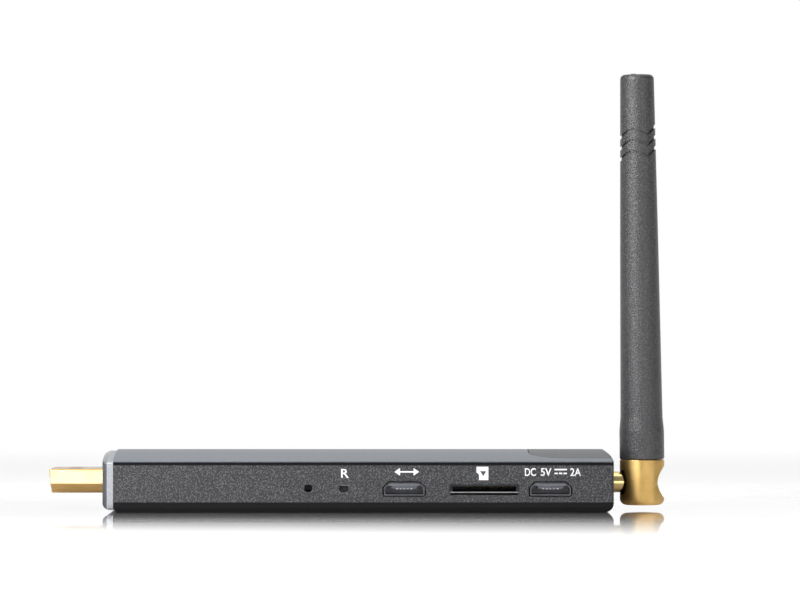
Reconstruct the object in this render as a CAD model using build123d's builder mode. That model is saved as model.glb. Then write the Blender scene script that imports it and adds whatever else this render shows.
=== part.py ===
from build123d import *
import os
from math import cos, radians, sin, sqrt

os.makedirs("parts", exist_ok=True)

# Streaming stick with an HDMI plug at one end and a swivelling antenna at the other.
# Millimetres. +Z is up, +X points to the antenna and -Y is the side with the ports.
# The origin is the centre of the case's flat underside.

# Case: black bottom cover, grained side frame, black rim and crowned top cover
case_length = 93.4
case_width = 35.0
bottom_height = 1.87
frame_height = 6.74
rim_height = 0.59
cover_edge = 0.25
crown_rise = 1.62
corner_radius = 0.6
bottom_radius = 1.1
end_round_length = 2.0
end_round_height = 2.2
end_lip = 1.2
case_wall = 1.3
end_wall = 1.6
floor_thickness = 1.0
cover_thickness = 0.8
cover_side = 4.3
lip_thickness = 0.9
cutter_margin = 1.0
lip_height = 1.1
rim_width = 3.0
skirt_height = 1.3
fit = 0.1

# Snap hooks on the rim's skirt
hook_length = 3.0
hook_depth = 0.35
hook_height = 0.6
hook_spacing = 28.0
hook_rise = 0.4

# End cap at the plug: dark end plate and silver trim band
plate_thickness = 0.82
band_width = 1.15
cap_lift = 0.42
cap_drop = 0.27
cap_low_length = 1.45
cap_low_height = 1.4
cap_high_length = 0.6
cap_high_height = 0.55
cap_corner = 1.4
cap_shoulder = 0.5
cap_plan_radius = 0.8
spigot_depth = 1.5
spigot_wall = 0.7
spigot_drop = 0.2
peg_radius = 0.6
peg_length = 0.8
peg_spread = 12.0

# Antenna window let into the top cover
window_length = 15.4
window_margin = 2.3
window_end_margin = 0.45
window_corner = 6.5
window_floor_rise = 0.35
window_ledge = 3.2
window_lip = 0.6
window_lip_depth = 0.3
seam_gap = 0.12

# Circuit board, carried on four posts of the bottom cover
board_bottom = 5.0
board_thickness = 0.8
board_edge_gap = 0.4
board_left_gap = 3.33
board_right_gap = 5.2
cable_notch_depth = 5.0
cable_notch_width = 6.8
post_radius = 1.8
screw_radius = 0.65
screw_gap = 0.03
screw_hole_gap = 0.2
screw_head_radius = 1.5
screw_head_height = 0.7
screw_length = 3.4
screw_cross = 0.35
post_end_gap = 3.4
post_port_gap = 2.5
post_edge_gap = 3.2
post_port_edge_gap = 7.3

# HDMI plug
plug_width = 13.9
plug_height = 4.45
plug_exposed = 10.4
plug_wall = 0.3
plug_corner = 0.5
plug_side = 2.8
plug_inset = 1.85
plug_low_corner = 0.4
plug_gap = 0.2
plug_tip_bevel = 0.3
plug_tip_slant = 0.45
plug_window_length = 2.4
plug_window_width = 1.7
plug_window_setback = 4.6
plug_window_spread = 3.1
plug_board_gap = 0.2
plug_liner_gap = 0.03
plug_mouth_setback = 0.6
plug_mouth_depth = 8.8
plug_mouth_width = 12.0
plug_mouth_height = 1.9
plug_contact_pitch = 1.0
plug_contact_width = 0.4
plug_contact_thickness = 0.15
plug_contact_setback = 0.6
plug_contact_spread = 0.7
plug_contact_jog = 0.8
plug_tail = 2.2
plug_leg_length = 2.0

# Micro-USB sockets
usb_data_setback = 38.27
usb_power_setback = 11.55
usb_width = 7.45
usb_height = 2.4
usb_bottom = 3.07
usb_depth = 5.0
usb_recess = 0.55
usb_wall = 0.25
usb_chamfer = 0.95
usb_corner = 0.3
usb_gap = 0.2
usb_leg_width = 0.75
usb_leg_length = 1.4
usb_liner_gap = 0.03
usb_leg_setback = 2.4
tongue_width = 4.6
tongue_thickness = 0.7
tongue_setback = 0.75
tongue_drop = 0.17
tongue_block = 1.2
usb_contact_count = 5
usb_contact_pitch = 0.65
usb_contact_width = 0.35
usb_contact_thickness = 0.12
usb_tail = 0.9

# MicroSD card socket
card_setback = 23.66
card_slot_width = 12.6
card_slot_height = 1.9
card_slot_bottom = 3.2
card_slot_corner = 0.4
card_socket_width = 14.0
card_socket_depth = 15.0
card_socket_height = 1.45
card_shell_thickness = 0.2
card_roof_thickness = 0.25
card_cavity_width = 11.6
card_back_wall = 1.2
card_contact_count = 8
card_contact_pitch = 1.1
card_contact_width = 0.5
card_contact_thickness = 0.12
card_contact_shift = 1.16
card_contact_reach = 11.0
card_contact_drop = 0.42
card_contact_setback = 2.5
card_contact_bend = 0.6
card_wall_gap = 0.1

# Reset switch and status light, each behind its small hole
reset_setback = 49.31
reset_z = 4.42
reset_hole_radius = 0.775
reset_travel = 0.25
plunger_width = 1.2
plunger_height = 0.8
plunger_setback = 0.1
plunger_flange = 2.1
plunger_flange_depth = 0.5
switch_width = 4.2
switch_depth = 2.8
switch_height = 1.4
switch_front_gap = 0.9
switch_front_wall = 0.4
switch_shell_thickness = 0.15
switch_gap = 0.06
switch_shell_gap = 0.3
dome_thickness = 0.1
light_pitch = 6.47
light_z = 4.46
light_hole_radius = 0.73
light_width = 1.8
light_depth = 0.9
light_height = 0.9
light_wall_gap = 0.5
hole_chamfer = 0.12

# Parts on the board; a share counts along the board from its plug end
processor_size = 15.0
processor_height = 1.3
processor_share = 0.379
processor_y = 2.0
pad_thickness = 0.8
spreader_length = 33.0
spreader_edge_gap = 2.8
spreader_thickness = 1.0
spreader_corner = 1.0
memory_length = 7.5
memory_width = 11.0
memory_height = 1.0
memory_share = 0.572
memory_spread = 13.0
memory_y = 1.0
flash_length = 11.5
flash_width = 13.0
flash_height = 1.0
flash_share = 0.162
flash_y = 5.0
power_size = 6.0
power_height = 0.9
power_share = 0.15
power_edge_gap = 3.8
wireless_size = 12.0
wireless_share = 0.747
wireless_y = 1.5
wireless_board_thickness = 0.6
wireless_shield_height = 1.4
wireless_shield_wall = 0.2
wireless_shield_inset = 0.4
crystal_length = 3.2
crystal_width = 2.5
crystal_height = 0.8
crystal_shares = [0.262, 0.656]
crystal_edge_gap = 3.5
inductor_size = 3.0
inductor_height = 1.5
inductor_shares = [0.234, 0.288, 0.342]
inductor_edge_gap = 4.8
capacitor_length = 1.0
capacitor_width = 0.5
capacitor_height = 0.5
capacitor_pitch = 2.2
capacitor_count = 4
capacitor_rows = [(0.403, 1, 3.2), (0.427, -1, 2.3), (0.656, -1, 6.3), (0.81, 1, 4.8)]

# Antenna cable and its snap connector
cable_radius = 0.565
cable_bend = 5.4
socket_share = 0.867
socket_y = 3.0
socket_base = 2.6
socket_base_height = 0.3
socket_ring_radius = 1.0
socket_ring_height = 0.75
cable_plug_radius = 1.35
cable_plug_height = 1.15
cable_plug_gap = 0.03
cable_turn = 0.4
crimp_radius = 0.8
crimp_length = 2.0

# Pivot: hollow stub screwed into the case's end wall, with the barrel turning on it
pivot_z = 5.0
stub_radius = 1.97
stub_shank_radius = 1.5
stub_bore_radius = 0.75
stub_end_radius = 1.4
stub_window_drop = 0.65
stub_hole_gap = 0.05
nut_across_flats = 5.0
nut_height = 1.6
washer_radius = 2.8
washer_thickness = 0.5
shank_spare = 0.1

# Swivel barrel
barrel_gap = 1.8
barrel_radius = 4.135
barrel_below = 4.25
barrel_above = 4.14
barrel_bottom_radius = 1.2
barrel_top_chamfer = 0.12
barrel_mouth_radius = 2.1
barrel_mouth_round = 0.12
barrel_mouth_depth = 2.1
barrel_wall_right = 2.77
barrel_recess_radius = 3.1
running_gap = 0.03
neck_radius = 2.65
neck_height = 5.8
neck_bore_radius = 0.85
neck_gap = 0.02
spring_washer_thickness = 0.28
spring_washer_radius = 2.7
lock_nut_thickness = 1.0
lock_nut_radius = 2.65
lock_nut_slot = 0.6

# Antenna sleeve, which leans a little toward the plug, and what it holds
sleeve_lean = 0.76
sleeve_gap = 0.03
sleeve_length = 71.41
collar_radius = 4.155
collar_height = 5.3
collar_chamfer = 0.2
shoulder_radius = 3.92
shoulder_height = 7.8
shoulder_round = 8.0
middle_radius = 3.575
middle_height = 38.7
tip_radius = 3.13
tip_round = 0.9
tip_dome = 0.12
gate_radius = 0.45
gate_height = 0.1
gate_offset = -0.65
wave_height = 60.85
wave_pitch = 2.0
wave_count = 3
wave_width = 0.46
wave_depth = 0.25
wave_corners = [(-3.9, -1.72), (-1.26, 0.76), (1.62, -0.64), (3.9, 1.69)]
wave_bends = [2.3, 0.8]
dipole_radius = 2.15
dipole_wall = 0.25
dipole_length = 24.0
dipole_bore_gap = 0.1
wire_radius = 0.35
wire_length = 28.0
tip_bore_radius = 0.6
dipole_bottom = 8.0
upper_bend = 1.5

# Levels and faces that follow from the sizes above
half_width = case_width / 2
case_left = -case_length / 2
case_right = case_length / 2
band_left = case_left + plate_thickness
frame_left = band_left + band_width
frame_top = bottom_height + frame_height
rim_top = frame_top + rim_height
edge_top = rim_top + cover_edge
crown_top = edge_top + crown_rise
inner_half = half_width - case_wall
inner_right = case_right - end_wall
lip_half = inner_half - fit
cover_hollow = half_width - cover_side
hook_z = frame_top - skirt_height + hook_rise
spigot_right = frame_left + spigot_depth
lip_left = spigot_right + fit
lip_right = inner_right - 2 * fit
cap_edge = edge_top - cap_drop
cap_top = crown_top - cap_drop
wall_inner_y = -inner_half
board_top = board_bottom + board_thickness
board_half = inner_half - board_edge_gap
board_left = frame_left + board_left_gap
board_right = case_right - board_right_gap
board_length = board_right - board_left
usb_data_x = case_right - usb_data_setback
usb_power_x = case_right - usb_power_setback
card_x = case_right - card_setback
reset_x = case_right - reset_setback
light_x = reset_x - light_pitch
socket_x = board_left + socket_share * board_length
processor_x = board_left + processor_share * board_length
spreader_width = 2 * (board_half - spreader_edge_gap)
post_y = board_half - post_edge_gap
post_places = [
    (board_left + post_end_gap, -post_y),
    (board_left + post_end_gap, post_y),
    (board_right - post_port_gap, post_port_edge_gap - board_half),
    (board_right - post_port_gap, post_y),
]
plug_z = board_bottom + board_thickness / 2
plug_tip = case_left - plug_exposed
plug_rear = board_left - plug_board_gap
plug_top = plug_z + plug_height / 2
plug_low = plug_z - plug_height / 2
window_left = case_right - window_length
window_right = case_right - window_end_margin
window_half = half_width - window_margin
window_floor = rim_top + window_floor_rise
barrel_left = case_right + barrel_gap
barrel_x = barrel_left + barrel_radius
barrel_top = pivot_z + barrel_above
barrel_bottom = pivot_z - barrel_below
mouth_floor = barrel_left + barrel_mouth_depth
recess_floor = barrel_x + barrel_radius - barrel_wall_right
lock_nut_left = recess_floor + spring_washer_thickness + running_gap
stub_end = lock_nut_left + lock_nut_thickness + shank_spare
stub_window_left = barrel_x - 1.68
stub_window_right = barrel_x + 1.0
cable_split_x = barrel_x - 1.6
usb_front = -(half_width - usb_recess)
usb_rear = usb_front + usb_depth
plug_window_x = plug_tip + plug_window_setback
plug_windows = [(plug_window_x, -plug_window_spread), (plug_window_x, plug_window_spread)]
card_front = wall_inner_y + card_wall_gap
card_mid_y = card_front + card_socket_depth / 2
card_low = board_bottom - card_socket_height
card_floor = card_low + card_shell_thickness
switch_front = wall_inner_y + switch_front_gap
switch_rear = switch_front + switch_depth
switch_low = board_bottom - switch_shell_thickness - switch_height
switch_chamber = plunger_flange_depth + reset_travel + dome_thickness + switch_gap
plunger_z = switch_low + switch_height / 2
cable_plug_low = board_top + socket_base_height
cable_start_x = socket_x + cable_plug_radius
cable_start_z = cable_plug_low + crimp_radius
stub_start = inner_right - washer_thickness - nut_height - shank_spare
dipole_top = dipole_bottom + dipole_length

# The sleeve's own plane: its local x is the radius and its local y runs up the leaning axis
lean = radians(sleeve_lean)
sleeve_bottom = barrel_top + sleeve_gap + collar_radius * sin(lean)
lean_origin = Vector(barrel_x, 0, sleeve_bottom)
lean_direction = Vector(-sin(lean), 0, cos(lean))
lean_axis = Axis(lean_origin, lean_direction)
lean_section = Plane(origin=lean_origin, x_dir=(cos(lean), 0, sin(lean)), z_dir=(0, -1, 0))
pivot_axis = Axis((0, 0, pivot_z), (1, 0, 0))
pivot_section = Plane(origin=(0, 0, pivot_z), x_dir=(1, 0, 0), z_dir=(0, -1, 0))


def save(builder, name):
    """Label a finished piece and write its file."""
    builder.part.label = name
    export_step(builder.part, f"parts/{name}.step")


def plan_outline(z, x_low, x_high, half_y, low_radius, high_radius):
    """Rectangle in plan with rounded upright corners at its low and high X ends."""
    with BuildSketch(Plane.XY.offset(z), mode=Mode.PRIVATE) as outline:
        with Locations(((x_low + x_high) / 2, 0)):
            Rectangle(x_high - x_low, 2 * half_y)
        if low_radius:
            fillet(outline.vertices().group_by(Axis.X)[0], low_radius)
        if high_radius:
            fillet(outline.vertices().group_by(Axis.X)[-1], high_radius)
    return outline.sketch


def trim_to_crown():
    """Trim the piece being made to the cover's crown and to its rounded antenna end."""
    bend = (half_width**2 + crown_rise**2) / (2 * crown_rise)
    wide = half_width + cutter_margin
    wide_z = crown_top - bend + sqrt(bend**2 - wide**2)
    low_z = rim_top - cutter_margin
    with BuildSketch(Plane.YZ.offset(frame_left - cutter_margin), mode=Mode.PRIVATE) as section:
        with BuildLine():
            Polyline((-wide, wide_z), (-wide, low_z), (wide, low_z), (wide, wide_z))
            ThreePointArc((wide, wide_z), (0, crown_top), (-wide, wide_z))
        make_face()
    extrude(section.sketch, amount=case_length + 2 * cutter_margin, mode=Mode.INTERSECT)
    centre = (case_right - end_round_length, crown_top - end_round_height)
    with BuildSketch(Plane.XZ, mode=Mode.PRIVATE) as profile:
        with BuildLine():
            Polyline((case_right, centre[1]), (case_right, low_z), (case_left, low_z), (case_left, crown_top))
            Line((case_left, crown_top), (centre[0], crown_top))
            EllipticalCenterArc(centre, end_round_length, end_round_height, 0, arc_size=90)
        make_face()
    extrude(profile.sketch, amount=case_width, both=True, mode=Mode.INTERSECT)


def cap_section(x):
    """Section across the end cap, with rounded lower corners and soft shoulders."""
    with BuildSketch(Plane.YZ.offset(x), mode=Mode.PRIVATE) as section:
        with BuildLine():
            Polyline(
                (-half_width, cap_edge),
                (-half_width, cap_lift),
                (half_width, cap_lift),
                (half_width, cap_edge),
            )
            ThreePointArc((half_width, cap_edge), (0, cap_top), (-half_width, cap_edge))
        make_face()
        fillet(section.vertices().group_by(Axis.Y)[0], cap_corner)
        fillet(section.vertices().group_by(Axis.Y)[-1], cap_shoulder)
    return section.sketch


def cap_profile():
    """Side view of the end cap, with elliptical corners at the plug end."""
    low_centre = (case_left + cap_low_length, cap_lift + cap_low_height)
    high_centre = (case_left + cap_high_length, cap_top - cap_high_height)
    with BuildSketch(Plane.XZ, mode=Mode.PRIVATE) as profile:
        with BuildLine():
            Polyline((low_centre[0], cap_lift), (frame_left, cap_lift), (frame_left, cap_top))
            Line((frame_left, cap_top), (high_centre[0], cap_top))
            EllipticalCenterArc(high_centre, cap_high_length, cap_high_height, 90, arc_size=90)
            Line((case_left, high_centre[1]), (case_left, low_centre[1]))
            EllipticalCenterArc(low_centre, cap_low_length, cap_low_height, 180, arc_size=90)
        make_face()
    return profile.sketch


def shape_cap(x_low, x_high):
    """Slice of the end cap between two X faces, added to the piece being made."""
    extrude(cap_section(x_low), amount=x_high - x_low)
    extrude(cap_profile(), amount=case_width, both=True, mode=Mode.INTERSECT)
    plan = plan_outline(0, case_left, frame_left, half_width, cap_plan_radius, 0)
    extrude(plan, amount=2 * crown_top, both=True, mode=Mode.INTERSECT)


def plug_section(x, shrink):
    """Section of the HDMI plug: full width at the top, sloped in at the bottom."""
    half = plug_width / 2
    with BuildSketch(Plane.YZ.offset(x), mode=Mode.PRIVATE) as section:
        with BuildLine():
            Polyline(
                (-half, plug_top),
                (-half, plug_top - plug_side),
                (-half + plug_inset, plug_low),
                (half - plug_inset, plug_low),
                (half, plug_top - plug_side),
                (half, plug_top),
                close=True,
            )
        make_face()
        fillet(section.vertices().group_by(Axis.Y)[-1], plug_corner)
        fillet(section.vertices().filter_by(lambda v: v.Y < plug_top - plug_side + fit), plug_low_corner)
        if shrink:
            offset(amount=-shrink, mode=Mode.REPLACE)
    return section.sketch


def usb_section(x, grow):
    """Front view of a micro-USB socket, wide below, with sloped upper corners."""
    half = usb_width / 2
    top = usb_bottom + usb_height
    with BuildSketch(Plane.XZ.offset(half_width - usb_recess), mode=Mode.PRIVATE) as section:
        with BuildLine():
            Polyline(
                (x - half, usb_bottom),
                (x + half, usb_bottom),
                (x + half, top - usb_chamfer),
                (x + half - usb_chamfer, top),
                (x - half + usb_chamfer, top),
                (x - half, top - usb_chamfer),
                close=True,
            )
        make_face()
        fillet(section.vertices().group_by(Axis.Y)[0], usb_corner)
        if grow:
            offset(amount=grow, kind=Kind.INTERSECTION, mode=Mode.REPLACE)
    return section.sketch


def along_board(share):
    """X of a point at that share of the board's length, counted from the plug end."""
    return board_left + share * board_length


def block(x, y, z, length, width, height):
    """Box on the level z, centred on x and y, added to the piece being made."""
    with Locations((x, y, z)):
        Box(length, width, height, align=(Align.CENTER, Align.CENTER, Align.MIN))


def turned(points, plane, axis, mode=Mode.ADD):
    """Solid turned about an axis from corner points in a section plane through it."""
    with BuildSketch(plane, mode=Mode.PRIVATE) as section:
        with BuildLine():
            Polyline(*points, close=True)
        make_face()
    revolve(section.sketch, axis=axis, mode=mode)


# Black bottom cover: a floor with rounded lower edges, locating lips and four board posts
with BuildPart() as bottom_cover:
    with BuildSketch(Plane.YZ.offset(frame_left)) as section:
        with Locations((0, bottom_height / 2)):
            Rectangle(case_width, bottom_height)
        fillet(section.vertices().group_by(Axis.Y)[0], bottom_radius)
    extrude(amount=case_right - frame_left)
    with BuildSketch(Plane.XZ) as profile:
        with Locations(((frame_left + case_right) / 2, bottom_height / 2)):
            Rectangle(case_right - frame_left, bottom_height)
        fillet(profile.vertices().group_by(Axis.X)[0].sort_by(Axis.Y)[0], bottom_radius)
        fillet(profile.vertices().group_by(Axis.X)[-1].sort_by(Axis.Y)[0], bottom_height - fit)
    extrude(amount=case_width, both=True, mode=Mode.INTERSECT)
    plan = plan_outline(0, frame_left, case_right, half_width, 0, corner_radius)
    extrude(plan, amount=bottom_height, mode=Mode.INTERSECT)
    hollow = plan_outline(floor_thickness, lip_left, inner_right, lip_half - lip_thickness, 0, 0)
    extrude(hollow, amount=bottom_height, mode=Mode.SUBTRACT)
    for side in (-1, 1):
        lip_y = side * (lip_half - lip_thickness / 2)
        lip_rise = bottom_height - floor_thickness + lip_height
        lip_length = lip_right - lip_left
        block((lip_left + lip_right) / 2, lip_y, floor_thickness, lip_length, lip_thickness, lip_rise)
    for x, y in post_places:
        with Locations((x, y, floor_thickness)):
            upright = (Align.CENTER, Align.CENTER, Align.MIN)
            Cylinder(post_radius, board_bottom - floor_thickness, align=upright)
        with Locations((x, y, board_bottom)):
            Hole(screw_radius + screw_gap, depth=screw_length)
save(bottom_cover, "bottom_cover")

# Grained side frame: two long walls and an end wall, open at the plug end
with BuildPart() as side_frame:
    outline = plan_outline(bottom_height, frame_left, case_right, half_width, 0, corner_radius)
    extrude(outline, amount=frame_height)
    inside = plan_outline(bottom_height, frame_left - fit, inner_right, inner_half, 0, 0)
    extrude(inside, amount=frame_height, mode=Mode.SUBTRACT)
    for x in (usb_data_x, usb_power_x):
        extrude(usb_section(x, usb_gap), amount=case_wall, both=True, mode=Mode.SUBTRACT)
    with BuildSketch(Plane.XZ.offset(half_width)):
        with Locations((card_x, card_slot_bottom + card_slot_height / 2)):
            RectangleRounded(card_slot_width, card_slot_height, card_slot_corner)
        with Locations((reset_x, reset_z)):
            Circle(reset_hole_radius)
        with Locations((light_x, light_z)):
            Circle(light_hole_radius)
    extrude(amount=-case_wall, mode=Mode.SUBTRACT)
    near_face = side_frame.faces().sort_by(Axis.Y)[0]
    chamfer([edge for wire in near_face.inner_wires() for edge in wire.edges()], hole_chamfer)
    with Locations((case_right - end_wall / 2, 0, pivot_z)):
        Cylinder(stub_shank_radius + stub_hole_gap, 2 * end_wall, rotation=(0, 90, 0), mode=Mode.SUBTRACT)
    for side in (-1, 1):
        for place in (-1, 0, 1):
            with Locations((place * hook_spacing, side * inner_half, hook_z)):
                Box(hook_length + 4 * fit, 2 * hook_depth, hook_height + 2 * fit, mode=Mode.SUBTRACT)
save(side_frame, "side_frame")

# Black rim under the cover, with a skirt and snap hooks that reach into the side frame
with BuildPart() as cover_frame:
    extrude(plan_outline(frame_top, frame_left, case_right, half_width, 0, corner_radius), amount=rim_height)
    opening = plan_outline(frame_top, frame_left + rim_width, inner_right, half_width - rim_width, 0, 0)
    extrude(opening, amount=rim_height, mode=Mode.SUBTRACT)
    for side in (-1, 1):
        skirt_y = side * (lip_half - lip_thickness / 2)
        skirt_z = frame_top - skirt_height
        block((lip_left + lip_right) / 2, skirt_y, skirt_z, lip_right - lip_left, lip_thickness, skirt_height)
        for place in (-1, 0, 1):
            with Locations((place * hook_spacing, side * lip_half, hook_z)):
                Box(hook_length, 2 * hook_depth, hook_height)
save(cover_frame, "cover_frame")

# Crowned top cover, hollow underneath, with the recess for the antenna window
with BuildPart() as top_cover:
    extrude(plan_outline(rim_top, frame_left, case_right, half_width, 0, corner_radius), amount=crown_top)
    trim_to_crown()
    with BuildSketch(Plane.YZ.offset(frame_left + rim_width)):
        with BuildLine():
            ThreePointArc((-cover_hollow, rim_top), (0, crown_top - cover_thickness), (cover_hollow, rim_top))
            Line((cover_hollow, rim_top), (-cover_hollow, rim_top))
        make_face()
    extrude(amount=window_left - frame_left - rim_width - end_lip, mode=Mode.SUBTRACT)
    recess = plan_outline(window_floor, window_left, window_right, window_half, window_corner, 0)
    extrude(recess, amount=crown_top, mode=Mode.SUBTRACT)
    opening_half = window_half - window_ledge
    opening_right = case_right - window_ledge
    opening = plan_outline(rim_top, window_left + window_ledge, opening_right, opening_half, 0, 0)
    extrude(opening, amount=window_floor - rim_top, mode=Mode.SUBTRACT)
save(top_cover, "top_cover")

# Inset window over the antenna end, with a short lip that drops into the cover's opening
with BuildPart() as antenna_window:
    seam_left = window_left + seam_gap
    seam_right = window_right - seam_gap
    seam_half = window_half - seam_gap
    panel = plan_outline(window_floor, seam_left, seam_right, seam_half, window_corner - seam_gap, 0)
    extrude(panel, amount=crown_top)
    trim_to_crown()
    lip_low = window_floor - window_lip_depth
    lip_near = window_left + window_ledge + fit
    lip_far = case_right - window_ledge - fit
    lip_side = window_half - window_ledge - fit
    extrude(plan_outline(lip_low, lip_near, lip_far, lip_side, 0, 0), amount=window_lip_depth)
    inner_side = lip_side - window_lip
    inner_lip = plan_outline(lip_low, lip_near + window_lip, lip_far - window_lip, inner_side, 0, 0)
    extrude(inner_lip, amount=window_lip_depth, mode=Mode.SUBTRACT)
save(antenna_window, "antenna_window")

# Dark end plate round the plug, with two pegs for the band
with BuildPart() as end_plate:
    shape_cap(case_left, band_left)
    extrude(plug_section(case_left, -plug_gap), amount=plate_thickness, mode=Mode.SUBTRACT)
    with BuildSketch(Plane.YZ.offset(band_left)):
        with Locations((-peg_spread, plug_z), (peg_spread, plug_z)):
            Circle(peg_radius)
    extrude(amount=peg_length)
save(end_plate, "end_plate")

# Silver band between end plate and case, with a spigot that enters the side frame
with BuildPart() as trim_band:
    shape_cap(band_left, frame_left)
    spigot_low = bottom_height + spigot_drop
    spigot_high = frame_top - spigot_drop
    with BuildSketch(Plane.YZ.offset(frame_left)):
        with Locations((0, (spigot_low + spigot_high) / 2)):
            Rectangle(2 * lip_half, spigot_high - spigot_low)
            spigot_inside = spigot_high - spigot_low - 2 * spigot_wall
            Rectangle(2 * (lip_half - spigot_wall), spigot_inside, mode=Mode.SUBTRACT)
    extrude(amount=spigot_depth)
    extrude(plug_section(band_left, -plug_gap), amount=band_width, mode=Mode.SUBTRACT)
    with BuildSketch(Plane.YZ.offset(band_left)):
        with Locations((-peg_spread, plug_z), (peg_spread, plug_z)):
            Circle(peg_radius + fit / 2)
    extrude(amount=peg_length + fit, mode=Mode.SUBTRACT)
save(trim_band, "trim_band")

# HDMI plug shell: a folded tube with a slanted, tapered mouth, spring windows and two rear legs
with BuildPart() as hdmi_shell:
    extrude(plug_section(plug_tip, 0), amount=plug_rear - plug_tip)
    with BuildSketch(Plane.XZ):
        with BuildLine():
            Polyline(
                (plug_tip + plug_tip_bevel, plug_top),
                (plug_tip, plug_top - plug_tip_bevel),
                (plug_tip + plug_tip_slant, plug_low),
                (plug_rear, plug_low),
                (plug_rear, plug_top),
                close=True,
            )
        make_face()
    extrude(amount=plug_width, both=True, mode=Mode.INTERSECT)
    with BuildSketch(Plane.XY.offset(plug_low)) as plan:
        with Locations(((plug_tip + plug_rear) / 2, 0)):
            Rectangle(plug_rear - plug_tip, plug_width)
        chamfer(plan.vertices().group_by(Axis.X)[0], plug_tip_bevel)
    extrude(amount=plug_height, mode=Mode.INTERSECT)
    extrude(plug_section(plug_tip, plug_wall), amount=plug_rear - plug_tip, mode=Mode.SUBTRACT)
    for x, y in plug_windows:
        with Locations((x, y, plug_z)):
            Box(plug_window_length, plug_window_width, 2 * plug_height, mode=Mode.SUBTRACT)
    for side in (-1, 1):
        leg_y = side * (plug_width - plug_wall) / 2
        leg_low = plug_top - plug_side + plug_wall
        block(plug_rear, leg_y, leg_low, 2 * plug_leg_length, plug_wall, plug_top - plug_corner - leg_low)
save(hdmi_shell, "hdmi_shell")

# Nineteen plug contacts in two staggered rows whose tails grip the board's edge
with BuildPart() as hdmi_contacts:
    contact_front = plug_tip + plug_mouth_setback + plug_contact_setback
    tail_end = board_left + plug_tail
    for side, count in ((1, 10), (-1, 9)):
        tail_z = plug_z + side * (board_thickness + plug_contact_thickness) / 2
        front_z = plug_z + side * plug_contact_spread
        for place in range(count):
            y = (place - (count - 1) / 2) * plug_contact_pitch
            with BuildSketch(Plane.XZ.offset(-y - plug_contact_width / 2)):
                with BuildLine():
                    Polyline(
                        (contact_front, front_z),
                        (plug_rear - 2 * plug_contact_jog, front_z),
                        (plug_rear - plug_contact_jog, tail_z),
                        (tail_end, tail_z),
                    )
                trace(line_width=plug_contact_thickness)
            extrude(amount=plug_contact_width)
save(hdmi_contacts, "hdmi_contacts")

# Insulator that fills the plug's rear and leaves the mouth open
with BuildPart() as hdmi_insulator:
    insulator_front = plug_tip + plug_mouth_setback
    extrude(plug_section(insulator_front, plug_wall + plug_liner_gap), amount=plug_rear - insulator_front)
    with Locations((insulator_front, 0, plug_z)):
        Box(2 * plug_mouth_depth, plug_mouth_width, plug_mouth_height, mode=Mode.SUBTRACT)
    add(hdmi_contacts.part, mode=Mode.SUBTRACT)
save(hdmi_insulator, "hdmi_insulator")

# Circuit board, notched for the two sockets, the plug's legs and the antenna cable
with BuildPart() as circuit_board:
    extrude(plan_outline(board_bottom, board_left, board_right, board_half, fit, fit), amount=board_thickness)
    with BuildSketch(Plane.XY.offset(board_bottom)):
        for x in (usb_data_x, usb_power_x):
            with Locations((x, -board_half)):
                Rectangle(usb_width + 2 * usb_gap, 2 * (usb_rear + usb_gap + board_half))
        with Locations((board_right, 0)):
            Rectangle(2 * cable_notch_depth, cable_notch_width)
        for side in (-1, 1):
            with Locations((board_left, side * (plug_width - plug_wall) / 2)):
                Rectangle(2 * (plug_leg_length + plug_gap), plug_wall + 2 * plug_gap)
        with Locations(*post_places):
            Circle(screw_radius + screw_hole_gap)
    extrude(amount=board_thickness, mode=Mode.SUBTRACT)
save(circuit_board, "circuit_board")

# Four pan-head screws that hold the board on its posts
with BuildPart() as board_screws:
    for x, y in post_places:
        with Locations((x, y, board_top)):
            Cylinder(screw_head_radius, screw_head_height, align=(Align.CENTER, Align.CENTER, Align.MIN))
            Cylinder(screw_radius, screw_length, align=(Align.CENTER, Align.CENTER, Align.MAX))
        with Locations((x, y, board_top + screw_head_height)):
            Box(4 * screw_cross, screw_cross, screw_head_height, mode=Mode.SUBTRACT)
            Box(screw_cross, 4 * screw_cross, screw_head_height, mode=Mode.SUBTRACT)
save(board_screws, "board_screws")


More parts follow.
